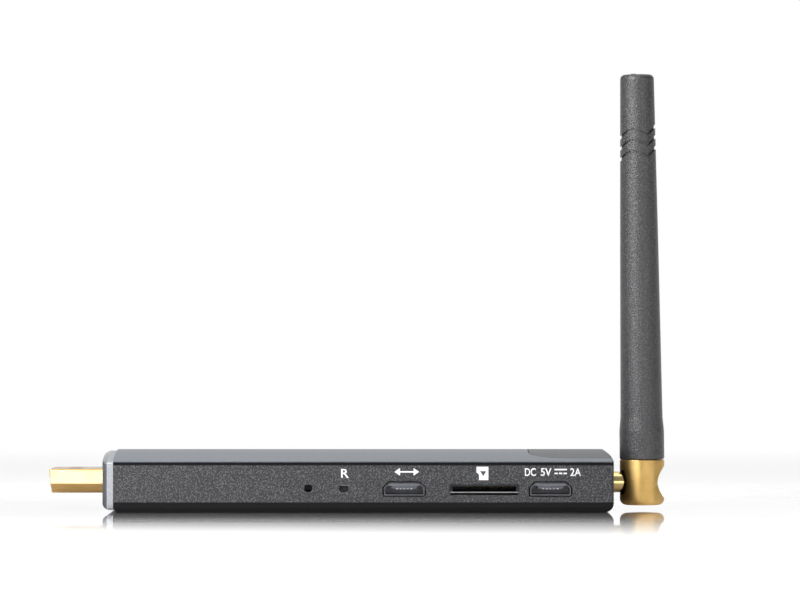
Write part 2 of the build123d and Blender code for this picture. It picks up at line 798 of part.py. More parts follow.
def make_usb(x, name):
    """Micro-USB socket sunk in a board notch: steel shell, plastic tongue and five contacts."""
    tongue_top = usb_bottom + usb_height - usb_wall - tongue_drop
    tongue_low = tongue_top - tongue_thickness
    contact_z = tongue_low - usb_contact_thickness / 2
    contact_front = usb_front + tongue_setback + usb_wall
    tail_z = board_bottom - usb_contact_thickness / 2
    with BuildPart() as contacts:
        for place in range(usb_contact_count):
            contact_x = x + (place - (usb_contact_count - 1) / 2) * usb_contact_pitch
            with BuildSketch(Plane.YZ.offset(contact_x - usb_contact_width / 2)):
                with BuildLine():
                    Polyline(
                        (contact_front, contact_z),
                        (usb_rear + usb_wall, contact_z),
                        (usb_rear + 2 * usb_wall, tail_z),
                        (usb_rear + usb_tail, tail_z),
                    )
                trace(line_width=usb_contact_thickness)
            extrude(amount=usb_contact_width)
    save(contacts, f"usb_{name}_contacts")
    with BuildPart() as shell:
        extrude(usb_section(x, 0), amount=-usb_depth)
        for side in (-1, 1):
            leg_x = x + side * usb_width / 2
            leg_y = usb_front + usb_leg_setback
            block(leg_x, leg_y, board_bottom - usb_wall, 2 * usb_leg_width, usb_leg_length, usb_wall)
        extrude(usb_section(x, -usb_wall), amount=-usb_depth, mode=Mode.SUBTRACT)
    save(shell, f"usb_{name}_shell")
    with BuildPart() as tongue:
        extrude(usb_section(x, -usb_wall - usb_liner_gap), amount=-usb_depth)
        with Locations((x, usb_front, (usb_bottom + tongue_low) / 2)):
            Box(usb_width, 2 * (usb_depth - tongue_block), usb_height, mode=Mode.SUBTRACT)
        block(x, (usb_front + tongue_setback + usb_rear) / 2, tongue_low, tongue_width,
              usb_depth - tongue_setback, tongue_thickness)
        add(contacts.part, mode=Mode.SUBTRACT)
    save(tongue, f"usb_{name}_tongue")


make_usb(usb_data_x, "data")
make_usb(usb_power_x, "power")

# MicroSD socket under the board: plastic base, steel plate below it and eight spring contacts
with BuildPart() as card_socket_base:
    block(card_x, card_mid_y, card_floor, card_socket_width, card_socket_depth, board_bottom - card_floor)
    with Locations((card_x, card_front, card_floor)):
        Box(
            card_cavity_width,
            2 * (card_socket_depth - card_back_wall),
            2 * (board_bottom - card_floor - card_roof_thickness),
            mode=Mode.SUBTRACT,
        )
save(card_socket_base, "card_socket_base")

with BuildPart() as card_socket_shell:
    block(card_x, card_mid_y, card_low, card_socket_width, card_socket_depth, card_shell_thickness)
save(card_socket_shell, "card_socket_shell")

with BuildPart() as card_socket_contacts:
    roof_z = board_bottom - card_roof_thickness - card_contact_thickness / 2
    contact_front = card_front + card_contact_setback
    for place in range(card_contact_count):
        step = place - (card_contact_count - 1) / 2
        contact_x = card_x + card_contact_shift + step * card_contact_pitch
        with BuildSketch(Plane.YZ.offset(contact_x - card_contact_width / 2)):
            with BuildLine():
                Polyline(
                    (contact_front, roof_z - card_contact_drop / 2),
                    (contact_front + card_contact_bend, roof_z - card_contact_drop),
                    (contact_front + 3 * card_contact_bend, roof_z),
                    (contact_front + card_contact_reach, roof_z),
                )
            trace(line_width=card_contact_thickness)
        extrude(amount=card_contact_width)
save(card_socket_contacts, "card_socket_contacts")

# Reset switch under the board: body, steel plate above it, snap dome and push tip
with BuildPart() as reset_switch_body:
    block(reset_x, (switch_front + switch_rear) / 2, switch_low, switch_width, switch_depth, switch_height)
    with Locations((reset_x, switch_front, plunger_z)):
        Box(
            plunger_width + 2 * switch_gap,
            4 * switch_front_wall,
            plunger_height + 2 * switch_gap,
            mode=Mode.SUBTRACT,
        )
    with Locations((reset_x, switch_front + switch_front_wall + switch_chamber / 2, plunger_z)):
        Box(
            plunger_flange + 2 * switch_gap,
            switch_chamber,
            plunger_height + 2 * switch_gap,
            mode=Mode.SUBTRACT,
        )
save(reset_switch_body, "reset_switch_body")

with BuildPart() as reset_switch_shell:
    plate_front = wall_inner_y + switch_shell_gap
    plate_low = switch_low + switch_height
    block(
        reset_x,
        (plate_front + switch_rear) / 2,
        plate_low,
        switch_width,
        switch_rear - plate_front,
        board_bottom - plate_low,
    )
save(reset_switch_shell, "reset_switch_shell")

with BuildPart() as reset_plunger:
    flange_y = switch_front + switch_front_wall + switch_gap / 2
    tip_y = wall_inner_y + plunger_setback
    with Locations((reset_x, (tip_y + flange_y) / 2, plunger_z)):
        Box(plunger_width, flange_y - tip_y, plunger_height)
    with Locations((reset_x, flange_y + plunger_flange_depth / 2, plunger_z)):
        Box(plunger_flange, plunger_flange_depth, plunger_height)
save(reset_plunger, "reset_plunger")

with BuildPart() as reset_dome:
    dome_y = switch_front + switch_front_wall + switch_chamber - dome_thickness / 2
    with Locations((reset_x, dome_y, plunger_z)):
        Box(plunger_flange, dome_thickness, plunger_height)
save(reset_dome, "reset_dome")

# Status light behind its pinhole
with BuildPart() as status_light:
    light_y = wall_inner_y + light_wall_gap + light_depth / 2
    block(light_x, light_y, board_bottom - light_height, light_width, light_depth, light_height)
save(status_light, "status_light")

# Parts on top of the board
with BuildPart() as main_processor:
    block(processor_x, processor_y, board_top, processor_size, processor_size, processor_height)
save(main_processor, "main_processor")

with BuildPart() as thermal_pad:
    pad_bottom = board_top + processor_height
    block(processor_x, processor_y, pad_bottom, processor_size, processor_size, pad_thickness)
save(thermal_pad, "thermal_pad")

with BuildPart() as heat_spreader:
    spreader_low = board_top + processor_height + pad_thickness
    block(processor_x, 0, spreader_low, spreader_length, spreader_width, spreader_thickness)
    fillet(heat_spreader.edges().filter_by(Axis.Z), spreader_corner)
save(heat_spreader, "heat_spreader")

with BuildPart() as memory_chips:
    memory_x = along_board(memory_share)
    for side in (-1, 1):
        chip_y = memory_y + side * memory_spread / 2
        block(memory_x, chip_y, board_top, memory_length, memory_width, memory_height)
save(memory_chips, "memory_chips")

with BuildPart() as flash_chip:
    block(along_board(flash_share), flash_y, board_top, flash_length, flash_width, flash_height)
save(flash_chip, "flash_chip")

with BuildPart() as power_chip:
    power_y = power_edge_gap + power_size / 2 - board_half
    block(along_board(power_share), power_y, board_top, power_size, power_size, power_height)
save(power_chip, "power_chip")

with BuildPart() as wireless_board:
    wireless_x = along_board(wireless_share)
    block(wireless_x, wireless_y, board_top, wireless_size, wireless_size, wireless_board_thickness)
save(wireless_board, "wireless_board")

with BuildPart() as wireless_shield:
    shield_low = board_top + wireless_board_thickness
    shield_size = wireless_size - 2 * wireless_shield_inset
    shield_hollow = wireless_shield_height - wireless_shield_wall
    block(wireless_x, wireless_y, shield_low, shield_size, shield_size, wireless_shield_height)
    fillet(wireless_shield.edges().filter_by(Axis.Z), 2 * wireless_shield_wall)
    with Locations((wireless_x, wireless_y, shield_low)):
        Box(
            shield_size - 2 * wireless_shield_wall,
            shield_size - 2 * wireless_shield_wall,
            2 * shield_hollow,
            mode=Mode.SUBTRACT,
        )
save(wireless_shield, "wireless_shield")

with BuildPart() as crystals:
    for share in crystal_shares:
        crystal_y = board_half - crystal_edge_gap
        block(along_board(share), crystal_y, board_top, crystal_length, crystal_width, crystal_height)
save(crystals, "crystals")

with BuildPart() as inductors:
    for share in inductor_shares:
        inductor_y = inductor_edge_gap - board_half
        block(along_board(share), inductor_y, board_top, inductor_size, inductor_size, inductor_height)
    fillet(inductors.edges().filter_by(Axis.Z), inductor_size / 6)
save(inductors, "inductors")

with BuildPart() as capacitors:
    for share, side, edge_gap in capacitor_rows:
        for place in range(capacitor_count):
            x = along_board(share) + place * capacitor_pitch
            y = side * (board_half - edge_gap)
            block(x, y, board_top, capacitor_length, capacitor_width, capacitor_height)
save(capacitors, "capacitors")

# Snap connector on the board and the cable plug pressed on it
with BuildPart() as cable_socket:
    block(socket_x, socket_y, board_top, socket_base, socket_base, socket_base_height)
    with Locations((socket_x, socket_y, board_top + socket_base_height)):
        Cylinder(socket_ring_radius, socket_ring_height, align=(Align.CENTER, Align.CENTER, Align.MIN))
        Cylinder(
            socket_ring_radius / 2,
            socket_ring_height,
            align=(Align.CENTER, Align.CENTER, Align.MIN),
            mode=Mode.SUBTRACT,
        )
save(cable_socket, "cable_socket")

with BuildPart() as cable_plug:
    with Locations((socket_x, socket_y, cable_plug_low)):
        Cylinder(cable_plug_radius, cable_plug_height, align=(Align.CENTER, Align.CENTER, Align.MIN))
    with Locations((socket_x + (crimp_length + cable_plug_radius) / 2, socket_y, cable_start_z)):
        Cylinder(crimp_radius, crimp_length + cable_plug_radius, rotation=(0, 90, 0))
    with Locations((socket_x, socket_y, cable_plug_low)):
        Cylinder(
            socket_ring_radius + cable_plug_gap,
            2 * (socket_ring_height + cable_plug_gap),
            mode=Mode.SUBTRACT,
        )
    with Locations((cable_start_x + crimp_length / 2, socket_y, cable_start_z)):
        Cylinder(cable_radius, crimp_length, rotation=(0, 90, 0), mode=Mode.SUBTRACT)
save(cable_plug, "cable_plug")

# Antenna cable, in one piece from its plug along the notch and through the hollow pivot
with BuildPart() as antenna_cable:
    with BuildLine():
        FilletPolyline(
            (cable_start_x, socket_y, cable_start_z),
            (board_right - cable_notch_depth - cable_turn, socket_y, cable_start_z),
            (board_right - cable_turn, 0, pivot_z),
            (cable_split_x, 0, pivot_z),
            radius=cable_bend,
        )
    with BuildSketch(Plane.YZ.offset(cable_start_x)):
        with Locations((socket_y, cable_start_z)):
            Circle(cable_radius)
    sweep()
save(antenna_cable, "antenna_cable")

# Hollow pivot stub, fixed in the case's end wall and open on top where the cable turns up
with BuildPart() as pivot_stub:
    stub_points = [
        (stub_start, stub_bore_radius),
        (stub_start, stub_shank_radius),
        (case_right, stub_shank_radius),
        (case_right, stub_radius),
        (recess_floor, stub_radius),
        (recess_floor, stub_end_radius),
        (stub_end, stub_end_radius),
        (stub_end, stub_bore_radius),
    ]
    turned(stub_points, pivot_section, pivot_axis)
    with Locations(((stub_window_left + stub_window_right) / 2, 0, pivot_z - stub_window_drop)):
        Box(
            stub_window_right - stub_window_left,
            3 * stub_radius,
            2 * stub_radius,
            align=(Align.CENTER, Align.CENTER, Align.MIN),
            mode=Mode.SUBTRACT,
        )
save(pivot_stub, "pivot_stub")

# Washer and nut that hold the stub inside the case
with BuildPart() as stub_washer:
    washer_left = inner_right - washer_thickness
    with BuildSketch(Plane.YZ.offset(washer_left)):
        with Locations((0, pivot_z)):
            Circle(washer_radius)
            Circle(stub_shank_radius + fit, mode=Mode.SUBTRACT)
    extrude(amount=washer_thickness)
save(stub_washer, "stub_washer")

with BuildPart() as stub_nut:
    with BuildSketch(Plane.YZ.offset(washer_left - nut_height)):
        with Locations((0, pivot_z)):
            RegularPolygon(nut_across_flats / 2, 6, major_radius=False)
            Circle(stub_shank_radius, mode=Mode.SUBTRACT)
    extrude(amount=nut_height)
save(stub_nut, "stub_nut")

# Swivel barrel: bored across for the stub, with the neck that carries the sleeve
with BuildPart() as swivel_barrel:
    with Locations((barrel_x, 0, barrel_bottom)):
        Cylinder(barrel_radius, barrel_top - barrel_bottom, align=(Align.CENTER, Align.CENTER, Align.MIN))
    fillet(swivel_barrel.edges().sort_by(Axis.Z)[0], barrel_bottom_radius)
    chamfer(swivel_barrel.edges().sort_by(Axis.Z)[-1], barrel_top_chamfer)
    with BuildSketch(Plane.YZ.offset(barrel_left - fit)):
        with Locations((0, pivot_z)):
            Circle(barrel_mouth_radius)
    extrude(amount=mouth_floor - barrel_left + fit, mode=Mode.SUBTRACT)
    not_round = swivel_barrel.edges().filter_by(GeomType.CIRCLE, reverse=True)
    curved_edges = not_round.filter_by(GeomType.LINE, reverse=True)
    fillet(curved_edges, barrel_mouth_round)
    with BuildSketch(Plane.YZ.offset(mouth_floor)):
        with Locations((0, pivot_z)):
            Circle(stub_radius + running_gap)
    extrude(amount=recess_floor - mouth_floor, mode=Mode.SUBTRACT)
    with BuildSketch(Plane.YZ.offset(recess_floor)):
        with Locations((0, pivot_z)):
            Circle(barrel_recess_radius)
    extrude(amount=2 * barrel_radius, mode=Mode.SUBTRACT)
    neck_points = [
        (0, -2 * barrel_top_chamfer - sleeve_gap),
        (neck_radius, -2 * barrel_top_chamfer - sleeve_gap),
        (neck_radius, neck_height),
        (0, neck_height),
    ]
    turned(neck_points, lean_section, lean_axis)
    bore_points = [
        (0, pivot_z - sleeve_bottom),
        (neck_bore_radius, pivot_z - sleeve_bottom),
        (neck_bore_radius, neck_height),
        (0, neck_height),
    ]
    turned(bore_points, lean_section, lean_axis, Mode.SUBTRACT)
save(swivel_barrel, "swivel_barrel")

# Washer and slotted nut in the barrel's far recess, which keep the barrel on the stub
with BuildPart() as wave_washer:
    with BuildSketch(Plane.YZ.offset(recess_floor + running_gap)):
        with Locations((0, pivot_z)):
            Circle(spring_washer_radius)
            Circle(stub_end_radius + fit, mode=Mode.SUBTRACT)
    extrude(amount=spring_washer_thickness)
save(wave_washer, "wave_washer")

with BuildPart() as lock_nut:
    with BuildSketch(Plane.YZ.offset(lock_nut_left)):
        with Locations((0, pivot_z)):
            Circle(lock_nut_radius)
            Circle(stub_end_radius, mode=Mode.SUBTRACT)
    extrude(amount=lock_nut_thickness)
    with Locations((lock_nut_left + lock_nut_thickness, 0, pivot_z)):
        Box(lock_nut_thickness, 3 * lock_nut_radius, lock_nut_slot, mode=Mode.SUBTRACT)
save(lock_nut, "lock_nut")

# Grooves of the sleeve, three waves that only bite into its skin
with BuildPart() as wave_cutter:
    for place in range(wave_count):
        with BuildSketch(lean_section):
            with BuildLine():
                height = wave_height - place * wave_pitch
                FilletPolyline(*[(x, y + height) for x, y in wave_corners], radius=wave_bends)
            trace(line_width=wave_width)
        extrude(amount=2 * collar_radius, both=True)
    core_low = middle_height
    core_points = [
        (0, core_low),
        (middle_radius - wave_depth, core_low),
        (tip_radius - wave_depth, sleeve_length),
        (0, sleeve_length),
    ]
    turned(core_points, lean_section, lean_axis, Mode.SUBTRACT)

# Antenna sleeve: a long tapering tube over the barrel's neck, closed and rounded at the tip
with BuildPart() as antenna_sleeve:
    with BuildSketch(lean_section) as sleeve_half:
        with BuildLine():
            Line((0, sleeve_length + tip_dome), (0, 0))
            FilletPolyline(
                (0, 0),
                (collar_radius - collar_chamfer, 0),
                (collar_radius, collar_chamfer),
                (collar_radius, collar_height),
                (shoulder_radius, shoulder_height),
                (middle_radius, middle_height),
                (tip_radius, sleeve_length),
                radius=[0, 0, shoulder_round, shoulder_round, 0],
            )
            ThreePointArc(
                (tip_radius, sleeve_length),
                (tip_radius / 2, sleeve_length + 0.75 * tip_dome),
                (0, sleeve_length + tip_dome),
            )
        make_face()
        fillet(sleeve_half.vertices().sort_by_distance((tip_radius, sleeve_length))[0], tip_round)
    revolve(axis=lean_axis)
    gate_plane = Plane(
        origin=lean_section.from_local_coords((gate_offset, sleeve_length, 0)),
        x_dir=(cos(lean), 0, sin(lean)),
        z_dir=lean_direction,
    )
    with BuildSketch(gate_plane):
        Circle(gate_radius)
    extrude(amount=tip_dome + gate_height)
    add(wave_cutter.part, mode=Mode.SUBTRACT)
    bore_points = [
        (0, 0),
        (neck_radius + neck_gap, 0),
        (neck_radius + neck_gap, neck_height + fit),
        (dipole_radius + dipole_bore_gap, neck_height + fit),
        (dipole_radius + dipole_bore_gap, dipole_top + fit),
        (tip_bore_radius, dipole_top + fit),
        (tip_bore_radius, dipole_top + wire_length + fit),
        (0, dipole_top + wire_length + fit),
    ]
    turned(bore_points, lean_section, lean_axis, Mode.SUBTRACT)
save(antenna_sleeve, "antenna_sleeve")

# Upper cable, which turns with the antenna and ends at the top of the dipole tube
with BuildPart() as antenna_cable_upper:
    corner = lean_origin + lean_direction * ((pivot_z - lean_origin.Z) / lean_direction.Z)
    with BuildLine():
        FilletPolyline(
            (cable_split_x, 0, pivot_z),
            corner,
            lean_origin + lean_direction * dipole_top,
            radius=upper_bend,
        )
    with BuildSketch(Plane.YZ.offset(cable_split_x)):
        with Locations((0, pivot_z)):
            Circle(cable_radius)
    sweep()
save(antenna_cable_upper, "antenna_cable_upper")

# Brass dipole tube round the cable, and the radiating wire above it
with BuildPart() as dipole_tube:
    tube_points = [
        (dipole_radius - dipole_wall, dipole_bottom),
        (dipole_radius, dipole_bottom),
        (dipole_radius, dipole_top),
        (dipole_radius - dipole_wall, dipole_top),
    ]
    turned(tube_points, lean_section, lean_axis)
save(dipole_tube, "dipole_tube")

with BuildPart() as radiator_wire:
    wire_points = [
        (0, dipole_top),
        (wire_radius, dipole_top),
        (wire_radius, dipole_top + wire_length),
        (0, dipole_top + wire_length),
    ]
    turned(wire_points, lean_section, lean_axis)
save(radiator_wire, "radiator_wire")
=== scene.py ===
# %% [markdown]
# # A streaming stick with a swivel antenna
# The solids of this stick come from CAD and are loaded as a fixed frame. Blender gives them
# their finishes, adds the small printed marks, and sets the light and the camera. All shapes
# are right already, so every node keeps its mesh and only gets a better material.

# %% Load the frame
import bpy
from math import radians
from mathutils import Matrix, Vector


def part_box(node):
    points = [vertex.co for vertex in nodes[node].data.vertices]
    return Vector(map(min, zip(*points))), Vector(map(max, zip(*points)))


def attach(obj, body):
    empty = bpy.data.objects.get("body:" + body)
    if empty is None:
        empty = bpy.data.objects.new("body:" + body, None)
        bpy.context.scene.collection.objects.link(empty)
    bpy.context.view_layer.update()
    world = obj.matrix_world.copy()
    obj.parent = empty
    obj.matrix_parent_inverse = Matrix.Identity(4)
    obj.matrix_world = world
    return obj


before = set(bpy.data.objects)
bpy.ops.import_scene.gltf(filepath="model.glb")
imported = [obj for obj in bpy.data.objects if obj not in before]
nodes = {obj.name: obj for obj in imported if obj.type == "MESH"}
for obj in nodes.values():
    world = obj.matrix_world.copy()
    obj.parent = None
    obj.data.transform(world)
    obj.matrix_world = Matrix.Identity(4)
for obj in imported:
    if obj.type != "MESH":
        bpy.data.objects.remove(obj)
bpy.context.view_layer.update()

# %% [markdown]
# ## The camera
# The picture was taken from almost floor level with a long lens: the top of the case is seen
# almost edge on, and upright lines stay upright. A wide lens close by would spread the antenna
# and the case apart. A camera that looks straight along +Y from 0.97 m away, with a 234 mm
# lens, has the same flat perspective, and needs no shift or tilt.

# %% Place the camera
camera_place = (0.00765, -0.9675, 0.0388)
lens_mm = 234.27
bpy.ops.object.camera_add(location=camera_place, rotation=(radians(90), 0, 0))
camera = bpy.context.object
camera.name = "camera"
camera.data.sensor_width = 36
camera.data.lens = lens_mm
camera.data.clip_start = 0.01
bpy.context.scene.camera = camera
print("camera lens:", lens_mm, "mm, at", camera_place)

# %% [markdown]
# ## Colours and lengths
# Colours are written as hex numbers, as they are picked on a screen. The renderer counts in
# linear light, so one function turns the one into the other. Patterns are sized by what they
# are on the real thing, in millimetres, while the scene itself is in metres.


# %% Colour and length helpers
MM = 0.001


def linear(tone):
    """Linear RGBA of an sRGB hex colour, or of a plain number, which is a brightness already linear."""
    if not isinstance(tone, str):
        return [tone, tone, tone, 1]
    parts = [int(tone[i:i + 2], 16) / 255 for i in (1, 3, 5)]
    return [c / 12.92 if c <= 0.04045 else ((c + 0.055) / 1.055) ** 2.4 for c in parts] + [1]


def per_mm(size):
    """Texture scale for a feature of that size in millimetres, because coordinates are in metres."""
    return 1000 / size


print("mid grey in linear light:", round(linear("#808080")[0], 3), "scale of a 0.5 mm grain:", per_mm(0.5))

# %% [markdown]
# ## Nodes
# Every finish below is a small node tree. It could be wired by hand in the editor. Here one
# function adds a node with its settings and links, so that each recipe reads from top to
# bottom like a list. The same links fill the inputs of a node that is there already.


# %% Node helpers
def feed(tree, node, **inputs):
    """Fill inputs with plain values, with sockets, or with nodes, whose first output is then used."""
    for name, value in inputs.items():
        socket = node.inputs[int(name[1:])] if name[0] == "_" else node.inputs[name.replace("_", " ")]
        if isinstance(value, bpy.types.Node):
            value = value.outputs[0]
        if isinstance(value, bpy.types.NodeSocket):
            tree.links.new(value, socket)
        else:
            socket.default_value = value


def add_node(tree, kind, settings=None, stops=(), **inputs):
    """A new node with its settings, the (position, tone) stops of its ramp, and its inputs."""
    node = tree.nodes.new(kind)
    for name, value in (settings or {}).items():
        setattr(node, name, value)
    marks = node.color_ramp.elements if stops else []
    while len(marks) < len(stops):
        marks.new(0.5)
    for mark, (position, tone) in zip(marks, stops):
        mark.position = position
        mark.color = linear(tone)
    feed(tree, node, **inputs)
    return node


print("node helpers ready:", feed.__name__, add_node.__name__)

# %% [markdown]
# ## How a material starts
# Each material starts from the real one's plain colour, roughness and metal, and gets its
# pattern after that. Patterns read object coordinates, so they stick to the piece when it
# moves and need no unwrapping. Two steps come back in most finishes: a colour that drifts a
# little from place to place, and a shallow relief. Nothing moulded, rolled or plated is quite
# even, and without these two a surface looks like a computer's.


# %% Material helpers
def new_material(name, colour, roughness, metallic=0.0):
    """A material with its main shader set to a plain finish, ready for a pattern."""
    material = bpy.data.materials.new(name)
    material.use_nodes = True
    tree = material.node_tree
    shader = tree.nodes["Principled BSDF"]
    feed(tree, shader, Base_Color=linear(colour), Roughness=roughness, Metallic=metallic)
    place = add_node(tree, "ShaderNodeTexCoord").outputs["Object"]
    return material, tree, shader, place


def drift(tree, shader, where, size_mm, dark, light, detail=2.0, low=0.3, high=0.7):
    """Let the colour drift between two tones, in patches of about that size."""
    patches = add_node(tree, "ShaderNodeTexNoise", Vector=where, Scale=per_mm(size_mm), Detail=detail)
    tones = add_node(tree, "ShaderNodeValToRGB", stops=((low, dark), (high, light)), Fac=patches)
    feed(tree, shader, Base_Color=tones)


def emboss(tree, shader, where, size_mm, depth_mm, strength, detail=2.0):
    """Raise the surface in bumps of about that size and depth."""
    bumps = add_node(tree, "ShaderNodeTexNoise", Vector=where, Scale=per_mm(size_mm), Detail=detail)
    relief = add_node(tree, "ShaderNodeBump", Strength=strength, Distance=depth_mm * MM, Height=bumps)
    feed(tree, shader, Normal=relief)


def dress(material, *names):
    """Give CAD nodes this material in place of their own."""
    for name in names:
        nodes[name].data.materials.clear()
        nodes[name].data.materials.append(material)
    print(material.name, "on", ", ".join(names))


print("material helpers ready, nodes to dress:", len(nodes))

# %% [markdown]
# ## The grained side frame
# The side is ABS from a mould with a spark-eroded texture: a fine random grain that breaks the
# light into small sparkles. The grain could be modelled, but the real one is finer than a tenth
# of a millimetre. One noise pattern gives both its relief and the light and dark of its tips
# and pits. It is drawn nearly three times too coarse, because anything finer can't be seen.

# %% Grained ABS
# To the eye: a dull dark grey that glitters slightly as the light passes over it.
grain_mm = 0.27
grained_abs, tree, shader, place = new_material("grained abs", "#232326", 0.5)
grain = add_node(
    tree, "ShaderNodeTexNoise", Vector=place, Scale=per_mm(grain_mm), Detail=2, Roughness=0.75
)
speckle = add_node(
    tree, "ShaderNodeValToRGB", stops=((0.34, "#050506"), (0.5, "#19191b"), (0.66, "#57575c")), Fac=grain
)
relief = add_node(tree, "ShaderNodeBump", Strength=0.9, Distance=0.02 * MM, Height=grain)
feed(tree, shader, Base_Color=speckle, Normal=relief)
dress(grained_abs, "side_frame")

# %% [markdown]
# ## Black covers
# The bottom cover and the thin rim are the same ABS from a polished mould, so they are smooth.
# A plain black would look like a hole in the picture. A low gloss and a faint unevenness, some
# millimetres wide as on any moulded wall, make it a surface.

# %% Satin black ABS
# To the eye: nearly black, with one soft sheen and no sparkle.
black_abs, tree, shader, place = new_material("satin black abs", "#08080a", 0.35)
feed(tree, shader, Specular_IOR_Level=0.12)
emboss(tree, shader, place, 6, 0.02, 0.5, detail=1)
drift(tree, shader, place, 0.4, "#060608", "#0b0b0d", detail=3, low=0.35)
dress(black_abs, "bottom_cover", "cover_frame")

# %% [markdown]
# ## The painted cover and its window
# The cover is ABS under a satin grey paint with a little metal flake. A sprayed coat is never
# quite flat: it has a soft orange peel, some millimetres wide and a few microns deep. The
# window panel has the same paint one tone darker, so one recipe serves both. The flakes are
# far too fine to show and are drawn 0.3 mm wide.

# %% Painted cover and window
# To the eye: an even, slightly metallic grey whose highlight has soft edges.
peel_mm, flake_mm = 2.5, 0.3
for name, plain, dark, light, node_name in (
    ("satin grey paint", "#60656b", "#5b6066", "#656a70", "top_cover"),
    ("dark grey paint", "#434549", "#3e4044", "#47494e", "antenna_window"),
):
    painted, tree, shader, place = new_material(name, plain, 0.45, 0.1)
    emboss(tree, shader, place, peel_mm, 0.006, 0.6)
    drift(tree, shader, place, flake_mm, dark, light, low=0.35, high=0.65)
    dress(painted, node_name)

# %% [markdown]
# ## The silver band
# The band at the plug is aluminium, brushed along its length round the case and lacquered.
# Brush lines are scratches much longer than wide. Noise that is stretched twenty times along Y
# gives them without modelling any. They are drawn 0.25 mm wide, several times too coarse.

# %% Lacquered aluminium
# To the eye: pale and softly bright, with fine lines across the light.
band_metal, tree, shader, place = new_material("lacquered aluminium", "#95979c", 0.45, 0.6)
brushed = add_node(tree, "ShaderNodeMapping", Vector=place, Scale=(1.0, 0.05, 1.0))
emboss(tree, shader, brushed, 0.25, 0.01, 0.5, detail=3)
drift(tree, shader, brushed, 0.25, "#8b8d92", "#9fa1a6", detail=3)
dress(band_metal, "trim_band")

# %% [markdown]
# ## The glossy end plate
# The plate round the plug is dark ABS from a mirror-polished mould, so it shows the studio in
# it. A very smooth base alone would turn it black between the lamps. A clear coat over a
# rougher base keeps some grey, with a few hairline marks from handling.

# %% Glossy dark plate
# To the eye: dark and wet, with clear reflections over a grey body.
plate_gloss, tree, shader, place = new_material("polished dark abs", "#313235", 0.3)
feed(tree, shader, Coat_Weight=0.6, Coat_Roughness=0.12)
hairlines = add_node(
    tree, "ShaderNodeMapping", Vector=place, Rotation=(0.4, 0, 0), Scale=(1, 0.1, 1)
)
emboss(tree, shader, hairlines, 0.6, 0.004, 0.4)
drift(tree, shader, place, 3, "#2b2c2f", "#3a3b3f")
dress(plate_gloss, "end_plate")

# %% [markdown]
# ## The gold-plated plug
# The plug shell is steel sheet with a thin gold plating, smooth but for faint drawing lines
# along its length, drawn 0.15 mm wide so that they show. Above and below its flat side the
# shell turns inward, and there it looks deeper and browner, because it reflects darker. That
# could be left to the light. The turn is so slight that painted shade shows it better: a second,
# deeper tone in the colour, by height.

# %% Tones of the sheet
# To the eye: a clear pale gold, nearly a mirror, streaked along the plug.
gold_sheet, tree, shader, place = new_material("gold-plated sheet", "#efd79f", 0.22, 1.0)
drawn = add_node(tree, "ShaderNodeMapping", Vector=place, Scale=(0.05, 1, 1))
lines = add_node(tree, "ShaderNodeTexNoise", Vector=drawn, Scale=per_mm(0.15), Detail=2)
relief = add_node(tree, "ShaderNodeBump", Strength=0.5, Distance=0.003 * MM, Height=lines)
clouds = add_node(tree, "ShaderNodeTexNoise", Vector=place, Scale=per_mm(2), Detail=2)
pale = add_node(tree, "ShaderNodeValToRGB", stops=((0.3, "#ebd29b"), (0.7, "#f2ddab")), Fac=clouds)
# Painted shade: a deeper, browner gold for the faces that turn inward and reflect darker.
painted_shade_gold = add_node(tree, "ShaderNodeValToRGB", stops=((0.3, "#967849"), (0.7, "#ae8f5c")), Fac=lines)
print("tones of the sheet: pale and deep")

# %% Painted shade where the shell turns inward
flat_middle, flat_half, taper_half = 6.1 * MM, 1.1 * MM, 1.22 * MM
height = add_node(tree, "ShaderNodeSeparateXYZ", Vector=place).outputs["Z"]
above = add_node(tree, "ShaderNodeMath", {"operation": "SUBTRACT"}, _0=height, _1=flat_middle)
offset = add_node(tree, "ShaderNodeMath", {"operation": "ABSOLUTE"}, _0=above)
taper_shade_mask = add_node(
    tree, "ShaderNodeMapRange", {"clamp": True}, _0=offset, _1=flat_half, _2=taper_half, _3=0.0, _4=1.0
)
# The painted shade takes over from the pale gold where the shell turns inward, by height.
tone = add_node(tree, "ShaderNodeMix", {"data_type": "RGBA"}, _0=taper_shade_mask, _6=pale, _7=painted_shade_gold)
feed(tree, shader, Base_Color=tone.outputs[2], Normal=relief)
dress(gold_sheet, "hdmi_shell")

# %% [markdown]
# ## The turned gold barrel
# The barrel is brass, turned on a lathe and gold plated. Turning leaves fine rings round its
# axis, which stretch each reflection along that axis, so a lamp shows as an upright streak.
# The rings could be modelled as grooves, thousands of them. The shader's anisotropic
# reflection, with its tangent round Z, does just that. The rings of the bump are drawn 0.12 mm
# apart, a few times too coarse.

# %% Turned gold
# To the eye: warm gold with long upright streaks, light and dark side by side.
turned_gold, tree, shader, place = new_material("turned gold", "#e3bd76", 0.5, 1.0)
tangent = add_node(tree, "ShaderNodeTangent", {"direction_type": "RADIAL", "axis": "Z"})
feed(tree, shader, Anisotropic=0.9, Anisotropic_Rotation=0.25, Tangent=tangent)
rings = add_node(tree, "ShaderNodeMapping", Vector=place, Scale=(0.05, 0.05, 1))
emboss(tree, shader, rings, 0.12, 0.003, 0.5)
clouds = add_node(tree, "ShaderNodeTexNoise", Vector=place, Scale=per_mm(2), Detail=2)
warm = add_node(tree, "ShaderNodeValToRGB", stops=((0.3, "#deb66c"), (0.7, "#e9c682")), Fac=clouds)
print("anisotropy of the turned gold:", shader.inputs["Anisotropic"].default_value)
